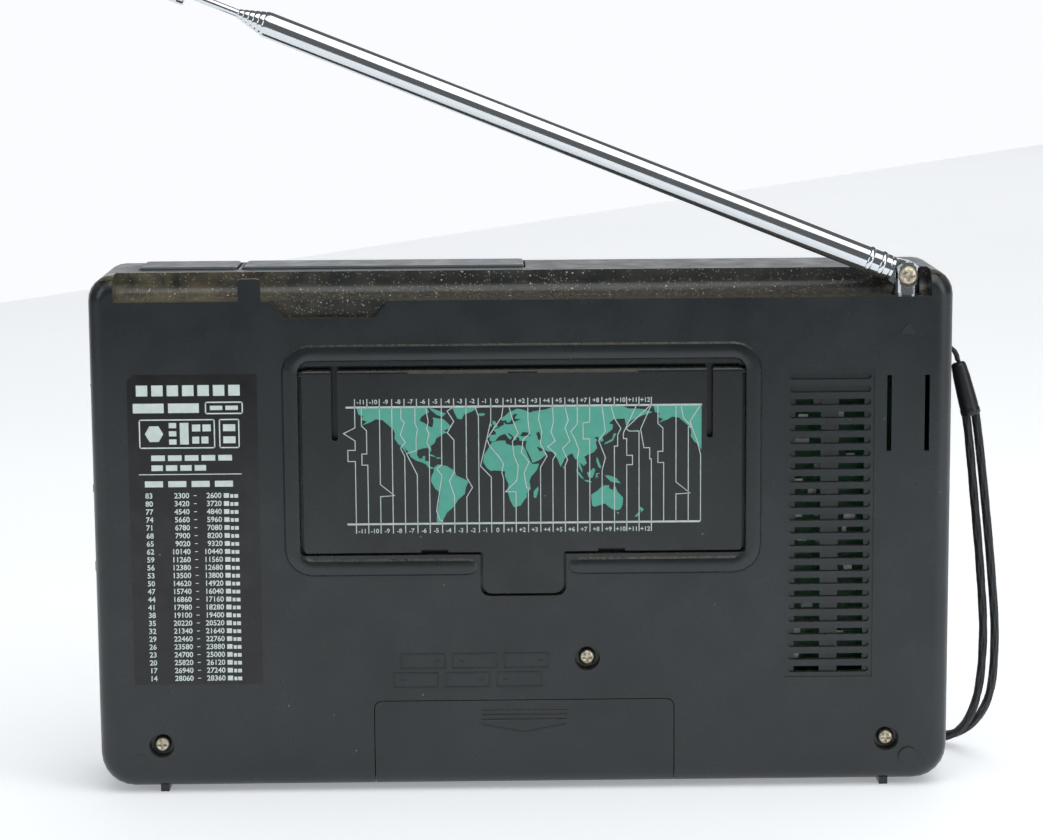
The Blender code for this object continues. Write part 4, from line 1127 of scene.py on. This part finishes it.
FIGURE_HEIGHT = 0.72
print("ink stands", INK, "mm proud")

# %% [markdown]
# ## The map on the stand
#
# A world map in teal with pale hour lines every fifteen degrees. The land is drawn in
# degrees of longitude and latitude, only as finely as a print eight centimetres wide shows.
# The Americas come twice, at both ends. Each outline is clipped to the map's frame.

# %% Land outlines, in degrees east and north
AMERICA_NORTH = (
    (-170, 73), (-168, 66), (-162, 64.5), (-165, 61), (-158, 58.5), (-164, 54.5), (-153, 58),
    (-147, 61), (-139, 60), (-133, 55.5), (-126, 50), (-124, 46), (-124.5, 40), (-120.5, 34.5),
    (-117, 32), (-112, 26), (-109.5, 23), (-111.5, 28.5), (-114, 31.5), (-109, 27),
    (-105.5, 20.5), (-98, 16), (-92, 14.5), (-87, 12.5), (-84, 9), (-80, 7.3), (-77.5, 8.5),
    (-82, 10), (-83.5, 15.5), (-88, 16), (-87.5, 21), (-90.5, 21.2), (-91, 18.5), (-95, 18.5),
    (-97.5, 22), (-97, 27.5), (-90, 29.5), (-84, 30), (-82.5, 27), (-80.5, 25.2), (-80, 28.5),
    (-81, 31.5), (-76, 35), (-74, 40), (-70, 42), (-66, 44.5), (-60.5, 46), (-65, 48.5),
    (-59, 50), (-56, 53), (-62, 58), (-65, 60.5), (-70, 61), (-78, 62.5), (-77, 58),
    (-78.5, 52), (-82, 52.5), (-88, 56.5), (-94, 59), (-92, 63), (-86, 66.5), (-82, 68),
    (-85, 73),
)  # fmt: skip
AMERICA_SOUTH = (
    (-77.5, 8.5), (-72, 12), (-62, 10.5), (-52, 5), (-50, 0), (-44, -2.5), (-35, -6),
    (-38.5, -13), (-40, -20), (-48, -26), (-53, -33), (-58, -37), (-62, -40), (-65, -45),
    (-68, -50), (-66, -54), (-74, -54), (-74.5, -46), (-73.5, -38), (-71.5, -30), (-70, -18),
    (-76, -14), (-81, -6), (-80, 0), (-77.5, 4),
)  # fmt: skip
AFRICA = (
    (-6, 35.5), (3, 37), (10, 37), (11, 33.5), (20, 31), (25, 32), (32, 31), (34, 27.5),
    (37, 21), (39.5, 15.5), (43, 11.5), (51, 12), (48, 5), (41, -2), (39, -7), (40.5, -15),
    (35.5, -20), (35.5, -24), (32.5, -27), (28, -33), (20, -34.8), (18, -32), (15, -26.5),
    (12, -17), (13.5, -10), (9, -1), (9.5, 4), (5, 4.5), (-4, 5.2), (-8, 4.5), (-13, 8),
    (-17, 14), (-16.5, 21), (-12, 27), (-9.5, 31),
)  # fmt: skip
EUROPE_AND_ASIA = (
    (-9, 43), (-9, 37), (-5.5, 36), (-2, 36.8), (0, 39.5), (3, 42), (7.5, 43.8), (10, 44),
    (12, 41.5), (15.5, 38), (18.3, 40), (14, 43), (13, 45.5), (19, 42), (21, 37), (23.5, 38),
    (23.5, 40.5), (27, 40), (27, 37), (31, 36.3), (36, 36.5), (34.5, 31.5), (35, 28),
    (39, 21.5), (43, 12.8), (52, 16), (58.5, 21), (59.8, 22.5), (56.5, 26.2), (51.5, 25),
    (48, 30), (50.5, 29.5), (57, 27), (61.5, 25), (67, 24.5), (70, 20.8), (73, 17), (77, 8.2),
    (80, 13), (82, 17), (88, 21.7), (91.5, 22.5), (94.5, 16.5), (98, 15.5), (98.5, 9),
    (103.3, 1.5), (103.5, 5), (100.3, 13), (105, 9), (109, 12), (106, 19), (110.5, 21.2),
    (117, 23.5), (121.5, 28), (120, 34), (122, 37), (118, 39), (122, 40.5), (126, 34.5),
    (129.3, 36), (128, 40), (133, 43), (140, 48), (141, 53), (136, 54.5), (142, 59),
    (155, 59.5), (157, 51.5), (162.5, 57), (170, 60), (178, 63), (189, 66), (180, 69),
    (170, 70), (160, 70), (152, 73), (68, 73), (60, 70), (44, 68), (40, 66.5), (33, 69.5),
    (25, 71), (14, 67), (10, 63.5), (5, 61), (5.5, 58.5), (8, 58.2), (10.5, 59), (12.5, 56),
    (16, 57), (18.5, 60.5), (17.5, 62.5), (21.5, 65.5), (25, 65.2), (21.5, 61.5), (23, 60),
    (30, 60), (24, 58), (21.5, 57), (19, 54.5), (10.5, 54.2), (8.3, 56.8), (8.5, 54), (4, 52),
    (1.5, 50.2), (-1.5, 49.7), (-4.5, 48.3), (-1.5, 46), (-1.5, 43.5),
)  # fmt: skip
AUSTRALIA = (
    (114, -22), (122, -17.5), (126, -14), (131, -11.8), (136, -12), (136, -15), (140.5, -17.5),
    (142.5, -11), (146, -18.5), (153, -25.5), (152.5, -32.5), (150, -37.5), (146, -39),
    (140, -37.8), (135, -34.8), (131, -31.5), (124, -33.5), (118, -35), (115.2, -33.5),
)  # fmt: skip
ISLANDS = (
    ((-54, 73), (-52, 68), (-48, 61), (-43, 60), (-40, 65), (-30, 68.5), (-22, 73)),
    ((-82, 73), (-72, 70), (-62, 66.5), (-66, 63), (-73, 65), (-80, 70)),
    ((-24, 65.5), (-22, 64), (-18, 63.4), (-14, 65), (-16, 66.5), (-22, 66.3)),
    ((49.5, -12.5), (50, -16), (47, -25), (44, -24.5), (44, -18)),
    ((-5.5, 50), (1.5, 51.5), (0, 53.5), (-2, 57.5), (-5, 58.5), (-5.5, 55), (-3, 53.5)),
    ((-10, 52), (-6.3, 52.3), (-6, 55), (-8.5, 54.8)),
    ((130, 31.5), (131.5, 34), (136, 35.8), (140, 38), (141.5, 43.5), (145, 43.5), (140.8, 36),
     (136.5, 34.2)),
    ((109, 1.5), (114.5, 4.5), (117, 7), (119, 5), (117.5, 0), (115.5, -4), (111, -3)),
    ((95.5, 5.5), (100.5, 1.5), (105.5, -5.5), (101.5, -3.5), (97, 2)),
    ((105.5, -6), (111, -6.4), (114.5, -7.6), (114.5, -8.8), (108, -7.9)),
    ((119.5, -5), (119.7, -1), (120.5, 1), (125, 1.5), (121.5, -0.6), (123, -4.5), (121, -2.5)),
    ((131, -1), (138, -1.8), (145, -4.5), (150, -10), (143.5, -9), (138.5, -8.2), (133, -3.8)),
    ((120.5, 14), (121, 18.5), (122.5, 17), (124, 12.5), (126.5, 8), (125.5, 6), (123, 8)),
    ((79.8, 9.5), (81.8, 7.5), (80.5, 6)),
    ((145, -41), (148, -41), (147, -43.5)),
    ((173, -35), (178.3, -38), (175.3, -41.3), (174, -39)),
    ((172.8, -41), (174, -42), (170.5, -46), (167, -46), (170, -43)),
    ((-84.5, 22), (-80, 23), (-74.5, 20.2), (-78, 20.6)),
    ((-74, 19.8), (-69, 19.5), (-68.5, 18.3), (-74, 18.3)),
)  # fmt: skip
SEAS = (
    ((28, 42), (31, 46), (37, 45.5), (41.5, 41.8), (35, 42), (31, 41.2)),
    ((47.5, 44.5), (51, 46.5), (53, 42), (54, 37.5), (50, 37.5), (49, 41)),
)
LAND = [AMERICA_NORTH, AMERICA_SOUTH, AFRICA, EUROPE_AND_ASIA, AUSTRALIA, *ISLANDS]
LAND.append(tuple((lon + 360, lat) for lon, lat in AMERICA_NORTH))
print(len(LAND), "outlines of land")

# %% [markdown]
# The map's own grid turns degrees into millimetres. A window clips an outline one side at
# a time: points outside are dropped and the crossings take their place.

# %% Clip and lay the land
MAP_LEFT, MAP_RIGHT = -184.0, 248.5
MAP_LOW, MAP_HIGH = -51.6, 73.7
STAND_BACK = 17.0


def on_map(lon, lat):
    """Degrees east and north as (x, z) on the stand."""
    return 5.8 - 0.1887 * lon, 73.5 + 0.217 * lat


def clipped(outline):
    """The part of an outline inside the map's window."""
    for axis, limit, sign in (
        (0, MAP_LEFT, 1), (0, MAP_RIGHT, -1), (1, MAP_LOW, 1), (1, MAP_HIGH, -1)
    ):
        kept = []
        for index, point in enumerate(outline):
            last = outline[index - 1]
            inside = sign * (point[axis] - limit) >= 0
            was_inside = sign * (last[axis] - limit) >= 0
            if inside != was_inside:
                share = (limit - last[axis]) / (point[axis] - last[axis])
                kept.append(tuple(a + (b - a) * share for a, b in zip(last, point)))
            if inside:
                kept.append(point)
        outline = kept
        if not outline:
            break
    return outline


land_mesh = bmesh.new()
for outline in LAND:
    shape = clipped(outline)
    if len(shape) > 2:
        add_plate(land_mesh, [on_map(*point) for point in shape], STAND_BACK)
print_piece("map_land", land_mesh, land_ink, "stand")
sea_mesh = bmesh.new()
for outline in SEAS:
    add_plate(sea_mesh, [on_map(*point) for point in outline], STAND_BACK + 0.01)
print_piece("map_seas", sea_mesh, water_ink, "stand")
print("land laid on the stand")

# %% [markdown]
# The hour lines run straight over the sea and step aside round countries. The straight
# ones and the tick marks are ruled by Geometry Nodes; the stepped ones are drawn through
# their corners. Each list gives the turns as degrees east and north.

# %% Hour lines
LINE = 0.2
LINE_DEPTH = STAND_BACK + INK
TOP, FOOT = 73.5, -51.5
STEPPED = {
    -172.5: ((0, 52), (-14, 46), (0, 38), (0, 28), (-9, 28), (-9, 16), (0, 16)),
    -157.5: ((-7, 73), (-7, 54), (-1, 49), (-1, 24), (-7, 24), (-7, 12), (0, 12)),
    -142.5: ((0, -9), (17, -21), (0, -22)),
    -112.5: ((-4, 73), (-4, 61), (0, 57), (-5, 44), (1, 36), (-5, 30), (0, 21)),
    -97.5: ((-2, 73), (-2, 56), (1, 50), (-1, 40), (-1, 27), (-13, 24), (0, 1)),
    -82.5: ((-4, 73), (-1, 58), (-3, 50), (0, 45), (-3, 36), (0, 30)),
    -67.5: ((0, 73), (0, 47), (0, 12), (-6, 7), (0, 0), (-7, -38), (-3, -48)),
    -52.5: ((0, 73), (-8, 69), (0, 58), (-8, 46), (0, 38), (0, 4), (-6, -6), (0, -22)),
    -37.5: ((0, -2), (7, -13), (0, -23)),
    -22.5: ((-4, 73), (0, 63)),
    -7.5: ((0, 73), (0, 58), (-13, 10), (0, -2)),
    7.5: ((0, 73), (-2, 62), (-20, 39), (-17, 32), (-4, 18), (0, 12), (-2, 3), (0, -4)),
    22.5: ((-8, 73), (-3, 58), (3, 45), (-4, 36), (-2, 20), (3, 10), (1, -6), (-13, -18)),
    37.5: ((0, 73), (0, 60), (2, 44), (-6, 38), (-8, 24), (1, 14), (-5, 2), (-2, -14)),
    52.5: ((0, 73), (-2, 60), (2, 46), (0, 33), (8, 20), (0, 8)),
    67.5: ((0, 73), (1, 56), (-2, 46), (3, 36), (-6, 30), (4, 22), (0, 16)),
    82.5: ((0, 73), (4, 58), (0, 50), (6, 36), (-3, 28), (3, 16), (0, 10)),
    97.5: ((0, 73), (0, 54), (-8, 46), (-3, 38), (2, 26), (0, 18)),
    112.5: ((0, 73), (0, 56), (-8, 55), (-8, 38), (0, 38)),
    127.5: ((0, 73), (2, 60), (4, 46), (-4, 36), (4, 18), (0, 4), (0, -8)),
    142.5: ((-4, 73), (0, 60), (8, 49), (4, 42), (4, 30)),
    157.5: ((12, 73), (-4, 44), (-4, 38), (0, 38), (0, 20), (7, 20), (7, 10)),
    172.5: ((14, 73), (-16, 49), (-12, 46)),
    187.5: ((-2, 70), (-13, 48), (-9, 28), (-2, 28), (-2, 16)),
    202.5: ((-7, 73), (-7, 54), (-1, 49), (-1, 24), (-7, 24), (-7, 12), (0, 12)),
    217.5: ((0, -9), (17, -21), (0, -22)),
    232.5: ((-9, 73), (-6, 60), (4, 50)),
    247.5: ((-13, 56), (-4, 34), (0, 20)),
}
line_mesh = bmesh.new()
straight = []
for index in range(29):
    lon = -172.5 + 15 * index
    turns = STEPPED.get(lon)
    if not turns:
        straight.append(lon)
        continue
    route = [(lon + turns[0][0] * (turns[0][1] == 73), TOP)]
    route += [(lon + aside, lat) for aside, lat in turns if lat < 73]
    route += [(lon, route[-1][1]), (lon, FOOT)] if turns[-1][0] else [(lon, FOOT)]
    route = [point for n, point in enumerate(route) if not n or point != route[n - 1]]
    add_line(line_mesh, [on_map(*point) for point in route], LINE, LINE_DEPTH)
for height, right in ((MAP_HIGH, -41.2), (MAP_LOW, -40.8)):
    z = on_map(0, height)[1]
    add_block(line_mesh, 40.4, right, z - 0.22, z + 0.22, LINE_DEPTH)
print_piece("map_hour_lines", line_mesh, line_ink, "stand")
z_low, z_high = on_map(0, FOOT)[1], on_map(0, TOP)[1]
points = [at(on_map(lon, 0)[0], LINE_DEPTH, (z_low + z_high) / 2) for lon in straight]
sizes = {
    "Count": 1,
    "Pitch": 1.0 * MM,
    "Width": LINE * MM,
    "Height": (z_high - z_low) * MM,
    "Thickness": 2 * INK * MM,
    "Finish": line_ink,
}
ruled = grown("map_straight_lines", RULER, points, sizes)
settle(ruled, "stand")
first_x = on_map(-172.5, 0)[0]
points = [at(first_x, LINE_DEPTH, 90.3), at(first_x, LINE_DEPTH, 61.2)]
sizes.update({"Count": 25, "Pitch": 0.1887 * 15 * MM, "Width": 0.22 * MM, "Height": 2.2 * MM})
ticks = grown("map_ticks", RULER, points, sizes)
settle(ticks, "stand")
print(len(straight), "straight hour lines and", 2 * 25, "ticks")


# %% Figures round the map
figure_mesh = bmesh.new()
for hour in range(-11, 13):
    x = on_map(15 * hour, 0)[0]
    words = f"{hour:+d}" if hour else "0"
    add_words(figure_mesh, words, 1.05, x, 90.25, STAND_BACK)
    add_words(figure_mesh, words, 1.05, x, 60.2, STAND_BACK)
print_piece("map_figures", figure_mesh, line_ink, "stand")
print("hours -11 to +12, above and below")

# %% [markdown]
# The stand's top edge has two shallow reliefs beside its middle, where dust has settled.
# Each is a thin ledge of dust, fitted to the recess.

# %% Dust on the stand's top edge
ledge_mesh = bmesh.new()
for left, right in ((26.2, 3.2), (-3.5, -26.6)):
    add_block(ledge_mesh, left, right, 97.15, 97.95, STAND_BACK, 0.02)
print_piece("stand_edge_dust", ledge_mesh, dust_felt, "stand")
print("two dusty ledges")

# %% [markdown]
# ## The rating label
#
# A glossy black film with pale print. Names and wording are left as plain bars of ink, in
# the layout such a label has: a heading, two framed marks, and a table of tuning ranges.
# The ranges are only figures, and they follow a rule.

# %% Label film and bars
FILM = 0.05
film_mesh = bmesh.new()
film_outline = ((88.9, 97.4), (90.3, 96.0), (90.3, 24.9), (60.6, 24.9), (60.6, 97.4))
add_plate(film_mesh, film_outline, BACK, FILM)
print_piece("label_film", film_mesh, label_film, "case")
LABEL = BACK + FILM - 0.01
bars = bmesh.new()


def bar_row(left, right, low, high, count, gap):
    """A row of equal bars between two X, like set words."""
    pitch = (left - right + gap) / count
    for index in range(count):
        start = left - index * pitch
        add_block(bars, start, start - pitch + gap, low, high, LABEL)


def frame_of(left, right, low, high, line):
    """A printed frame of a line width."""
    corners = ((left, low), (left, high), (right, high), (right, low), (left, low))
    for one, other in zip(corners, corners[1:]):
        xs, zs = sorted((one[0], other[0])), sorted((one[1], other[1]))
        half = line / 2
        add_block(bars, xs[1] + half, xs[0] - half, zs[0] - half, zs[1] + half, LABEL)


bar_row(88.2, 64.5, 92.5, 95.0, 7, 0.9)
bar_row(89.0, 73.9, 88.6, 90.8, 2, 1.0)
frame_of(72.4, 64.0, 88.4, 91.0, 0.3)
bar_row(71.4, 65.0, 89.2, 90.2, 2, 0.7)
frame_of(87.6, 70.5, 80.5, 87.0, 0.28)
frame_of(69.3, 64.9, 80.5, 87.0, 0.28)
hexagon = [
    (84.3 + 2.1 * math.cos(math.tau * n / 6), 83.75 + 2.1 * math.sin(math.tau * n / 6))
    for n in range(6)
]
add_plate(bars, hexagon, LABEL)
for low in (81.3, 83.2, 85.1):
    bar_row(80.9, 79.2, low, low + 1.2, 1, 0.0)
bar_row(78.4, 76.4, 81.3, 86.3, 1, 0.0)
bar_row(75.6, 71.3, 84.3, 85.9, 2, 0.5)
bar_row(75.6, 71.9, 81.5, 83.1, 2, 0.5)
bar_row(68.5, 65.7, 84.3, 85.9, 1, 0.0)
bar_row(68.5, 65.7, 81.5, 83.1, 1, 0.0)
bar_row(85.1, 66.6, 77.5, 78.8, 5, 0.7)
bar_row(85.1, 72.6, 75.2, 76.5, 4, 0.7)
bar_row(88.0, 64.5, 74.25, 74.45, 1, 0.0)
bar_row(86.7, 66.5, 71.4, 72.8, 4, 1.2)
print_piece("label_bars", bars, label_ink, "case")
print("label laid")

# %% Table of tuning ranges
RANGES = 24
table = bmesh.new()
for row in range(RANGES):
    z = 68.8 - 1.87 * row
    start = 2.3 + 1.12 * row
    add_words(table, f"{11 + 3 * (RANGES - row)}", 1.25, 86.7, z, LABEL, align="LEFT")
    add_words(table, f"{1000 * start:.0f}", 1.25, 76.6, z, LABEL, align="RIGHT")
    add_words(table, f"{1000 * start + 300:.0f}", 1.25, 69.2, z, LABEL, align="RIGHT")
    add_block(table, 75.6, 74.9, z + 0.5, z + 0.66, LABEL)
    for left, right in ((68.7, 67.5), (67.2, 66.5), (66.3, 65.4)):
        add_block(table, left, right, z, z + (1.1 if left > 68 else 0.85), LABEL)
print_piece("label_table", table, label_ink, "case")
print(RANGES, "rows of figures")

# %% [markdown]
# ## Moulded marks
#
# Shallow marks stand on the cover where the tool was engraved: a triangle by the antenna's
# pivot, a diagram of the six cells above the battery door, and a small arrow on the door.

# %% Triangle, cell diagram, arrow
MARK = 0.14
marks = bmesh.new()
add_plate(marks, ((-86.4, 105.3), (-90.6, 105.3), (-88.5, 108.1)), BACK, MARK)
for row in range(2):
    for column in range(3):
        left = 30.2 - 12.0 * column - 1.7 * row
        low = 23.6 + 4.5 * row
        right, high = left - 10.2, low + 3.4
        add_line(
            marks,
            ((left, low), (left, high), (right, high), (right, low), (left, low)),
            0.32,
            BACK,
            MARK,
        )
        pole = left - (8.4 if (row + column) % 2 else 2.0)
        add_block(marks, pole + 0.6, pole - 0.6, low + 1.55, low + 1.85, BACK, MARK)
print_piece("moulded_marks", marks, moulded_mark, "case")
arrow = bmesh.new()
add_line(arrow, ((9.9, 14.6), (0.0, 12.7), (-9.9, 14.6)), 0.3, BACK, MARK)
print_piece("door_arrow", arrow, moulded_mark, "door")
print("marks stand", MARK, "mm proud")

# %% [markdown]
# ## Controls at the side and in the top
#
# The two thumbwheels stand a little out of the side panel. A wheel's rim has straight ribs
# all round, so its drum is turned plainly and a tree sets one rib after another on a
# circle, each turned to face outwards.


# %% Ribs round a wheel
def ribber():
    """A tree that stands ribs on a circle round the Y axis of each point."""
    inputs = {
        "Count": "NodeSocketInt",
        "Radius": "NodeSocketFloat",
        "Rib": "NodeSocketVector",
        "Finish": "NodeSocketMaterial",
    }
    tree, start, keys = new_tree("ribs_round_a_wheel", inputs)
    circle = add(
        tree,
        "GeometryNodeMeshCircle",
        {"Vertices": start.outputs["Count"], "Radius": start.outputs["Radius"]},
    )
    upright = add(
        tree,
        "GeometryNodeTransform",
        {"Geometry": circle.outputs["Mesh"], "Rotation": (math.pi / 2, 0.0, 0.0)},
    )
    rib = add(tree, "GeometryNodeMeshCube", {"Size": start.outputs["Rib"]})
    outward = add(tree, "GeometryNodeInputPosition")
    facing = add(
        tree,
        "FunctionNodeAlignRotationToVector",
        {"Vector": outward.outputs["Position"]},
        axis="X",
        pivot_axis="Y",
    )
    ribs = add(
        tree,
        "GeometryNodeInstanceOnPoints",
        {
            "Points": upright.outputs["Geometry"],
            "Instance": rib.outputs["Mesh"],
            "Rotation": facing.outputs["Rotation"],
        },
    )
    whole = add(tree, "GeometryNodeRealizeInstances", {"Geometry": ribs.outputs["Instances"]})
    placed = add(
        tree,
        "GeometryNodeInstanceOnPoints",
        {"Points": start.outputs["Points"], "Instance": whole.outputs["Geometry"]},
    )
    end_tree(tree, placed.outputs["Instances"], start.outputs["Finish"])
    return tree, keys


RIBBER = ribber()
WHEELS = {"tuning_wheel": (90.15, 92.5), "volume_wheel": (89.95, 28.0)}
lengthways = Matrix.Rotation(math.radians(-90.0), 4, "X")
for node, (x, z) in WHEELS.items():
    drum = [(0.0, -4.5), (2.0, -4.5), (2.0, -2.5), (10.2, -2.5), (10.6, -2.2), (10.7, -1.8)]
    drum += [(10.7, 1.8), (10.6, 2.2), (10.2, 2.5), (2.0, 2.5), (2.0, 4.5), (0.0, 4.5)]
    core = new_piece(f"{node}_drum", spin(drum, 96, lengthways, at(x, -4.0, z)), control_abs)
    settle(core, BODY_OF[node], (node,))
    sizes = {
        "Count": 48,
        "Radius": 10.72 * MM,
        "Rib": (0.52 * MM, 4.4 * MM, 0.62 * MM),
        "Finish": control_abs,
    }
    ribs = grown(f"{node}_ribs", RIBBER, [at(x, -4.0, z)], sizes)
    settle(ribs, BODY_OF[node])
print("ribs per wheel:", 48)

# %% Keys, switches and jacks
for node in ("light_button", "snooze_bar"):
    polished(node, top_key_abs, 0.2)
for node in ("switch_upper", "switch_lower"):
    polished(node, control_abs, 0.1)
for node in ("phones_jack", "supply_jack"):
    polished(node, jack_nylon, 0.12)
key_nodes = sorted(node for node in BODY_OF if node.startswith("key_") and node != "key_board")
for node in key_nodes:
    polished(node, key_abs, 0.22)
print(len(key_nodes), "keys")

# %% [markdown]
# ## The front's legends and the display
#
# Each number key carries its own figure, the two long keys a triangle, and the power key
# the usual circle and stroke. They ride on their keys. The display shows a clock and a
# frequency in seven-segment figures, on the display module's own face.

# %% Legends on the keys
KEY_FACE = -18.0
for node in key_nodes:
    low, high = (corner / MM for corner in (Vector(value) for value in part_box(node)))
    x, z = (low.x + high.x) / 2, (low.z + high.z) / 2 - FOOT_HEIGHT
    legend = bmesh.new()
    name = node.removeprefix("key_")
    if name.isdigit():
        add_words(legend, name, 3.0, x, z - 1.5, KEY_FACE, front=True)
    elif name == "power":
        ring = [math.radians(angle) for angle in range(120, 421, 20)]
        arc = [(x + 1.3 * math.cos(angle), z - 0.1 + 1.3 * math.sin(angle)) for angle in ring]
        add_line(legend, arc, 0.34, KEY_FACE, -INK)
        add_block(legend, x - 0.17, x + 0.17, z + 0.3, z + 1.7, KEY_FACE, -INK)
    else:
        way = 1.0 if name == "up" else -1.0
        corners = ((x - 1.6, z - 1.1 * way), (x + 1.6, z - 1.1 * way), (x, z + 1.4 * way))
        add_plate(legend, corners, KEY_FACE, -INK)
    print_piece(f"{node}_legend", legend, legend_ink, BODY_OF[node])
print("legends on the keys")

# %% Figures on the display
GLASS_FACE = -13.8
SEGMENTS = {"0": "abcdef", "1": "bc", "2": "abged", "3": "abgcd", "4": "fgbc", "5": "afgcd"}
SEGMENTS.update({"6": "afgedc", "7": "abc", "8": "abcdefg", "9": "abcfgd"})
shown = bmesh.new()


def add_segments(mesh, figures, x, z, wide, tall, line):
    """Add seven-segment figures from left to right on the front."""
    for figure in figures:
        if figure in ".:":
            heights = (0.0,) if figure == "." else (tall * 0.28, tall * 0.68)
            for height in heights:
                low = z + height
                add_block(mesh, x, x + line, low, low + line, GLASS_FACE, -INK)
            x += line * 2.2
            continue
        half = tall / 2
        bars_of = {
            "a": (0, wide, tall - line, tall),
            "b": (wide - line, wide, half + line * 0.3, tall - line * 1.2),
            "c": (wide - line, wide, line * 1.2, half - line * 0.3),
            "d": (0, wide, 0, line),
            "e": (0, line, line * 1.2, half - line * 0.3),
            "f": (0, line, half + line * 0.3, tall - line * 1.2),
            "g": (line * 0.7, wide - line * 0.7, half - line / 2, half + line / 2),
        }
        for segment in SEGMENTS[figure]:
            left, right, low, high = bars_of[segment]
            add_block(mesh, x + left, x + right, z + low, z + high, GLASS_FACE, -INK)
        x += wide + line * 1.1
    return x


add_segments(shown, "12:30", 10.0, 88.0, 4.6, 9.5, 0.9)
add_segments(shown, "9.650", 44.0, 86.5, 6.2, 13.0, 1.2)
for index in range(6):
    add_block(shown, 10.0 + 2.2 * index, 11.4 + 2.2 * index, 83.2, 84.4, GLASS_FACE, -INK)
print_piece("display_figures", shown, lcd_dark, "case")
print("display lit")

# %% [markdown]
# ## Inside
#
# The vents give a glimpse of the board. Small components are scattered over its back face
# by a tree: points are spread with a fixed seed, each gets a block of random proportions,
# and the copies become real mesh.


# %% Components on the board
def populator():
    """A tree that stands small blocks of random sizes on a face."""
    inputs = {
        "Density": "NodeSocketFloat",
        "Seed": "NodeSocketInt",
        "Smallest": "NodeSocketVector",
        "Largest": "NodeSocketVector",
        "Finish": "NodeSocketMaterial",
    }
    tree, start, keys = new_tree("parts_on_a_board", inputs)
    sheet = add(tree, "GeometryNodeMeshGrid", {0: 15.0 * MM, 1: 74.0 * MM, 2: 2, 3: 2})
    upright = add(
        tree,
        "GeometryNodeTransform",
        {"Geometry": sheet.outputs["Mesh"], "Rotation": (math.pi / 2, 0.0, 0.0)},
    )
    spots = add(
        tree,
        "GeometryNodeDistributePointsOnFaces",
        {
            "Mesh": upright.outputs["Geometry"],
            "Distance Min": 3.4 * MM,
            "Density Max": start.outputs["Density"],
            "Seed": start.outputs["Seed"],
        },
        distribute_method="POISSON",
    )
    size = add(
        tree,
        "FunctionNodeRandomValue",
        {0: start.outputs["Smallest"], 1: start.outputs["Largest"], "Seed": start.outputs["Seed"]},
        data_type="FLOAT_VECTOR",
    )
    block = add(tree, "GeometryNodeMeshCube", {"Size": (1.0, 1.0, 1.0)})
    blocks = add(
        tree,
        "GeometryNodeInstanceOnPoints",
        {
            "Points": spots.outputs["Points"],
            "Instance": block.outputs["Mesh"],
            "Scale": size.outputs[0],
        },
    )
    whole = add(tree, "GeometryNodeRealizeInstances", {"Geometry": blocks.outputs["Instances"]})
    placed = add(
        tree,
        "GeometryNodeInstanceOnPoints",
        {"Points": start.outputs["Points"], "Instance": whole.outputs["Geometry"]},
    )
    end_tree(tree, placed.outputs["Instances"], start.outputs["Finish"])
    return tree, keys


BOARD_BACK = 5.1
POPULATOR = populator()
sizes = {
    "Density": 60000.0,
    "Seed": 7,
    "Smallest": (0.8 * MM, 1.2 * MM, 0.8 * MM),
    "Largest": (3.2 * MM, 3.0 * MM, 3.0 * MM),
    "Finish": tinplate,
}
parts = grown("board_components", POPULATOR, [at(-70.7, BOARD_BACK + 0.5, 60.0)], sizes)
settle(parts, "case")
print("faces of components:", len(parts.data.polygons))

# %% Finishes of the solids that keep their shape
refinish(board_mask, "main_board", "key_board")
refinish(cell_sleeve, *(f"cell_{number}" for number in range(1, 7)))
refinish(contact_steel, "contact_left", "contact_right")
refinish(inner_abs, "battery_tray")
refinish(lcd_glass, "display_module")
refinish(window_clear, "display_window")
refinish(ferrite_core, "ferrite_rod")
refinish(paper_cone, "speaker")
refinish(tinplate, "tuner_shield")
refinish(control_abs, "antenna_bush")
FINISHES = list(bpy.data.materials)
left_over = [
    name
    for name, made in frame["nodes"].items()
    if not made.hide_render and not any(slot.material in FINISHES for slot in made.material_slots)
]
print("solids without a finish of their own:", left_over)
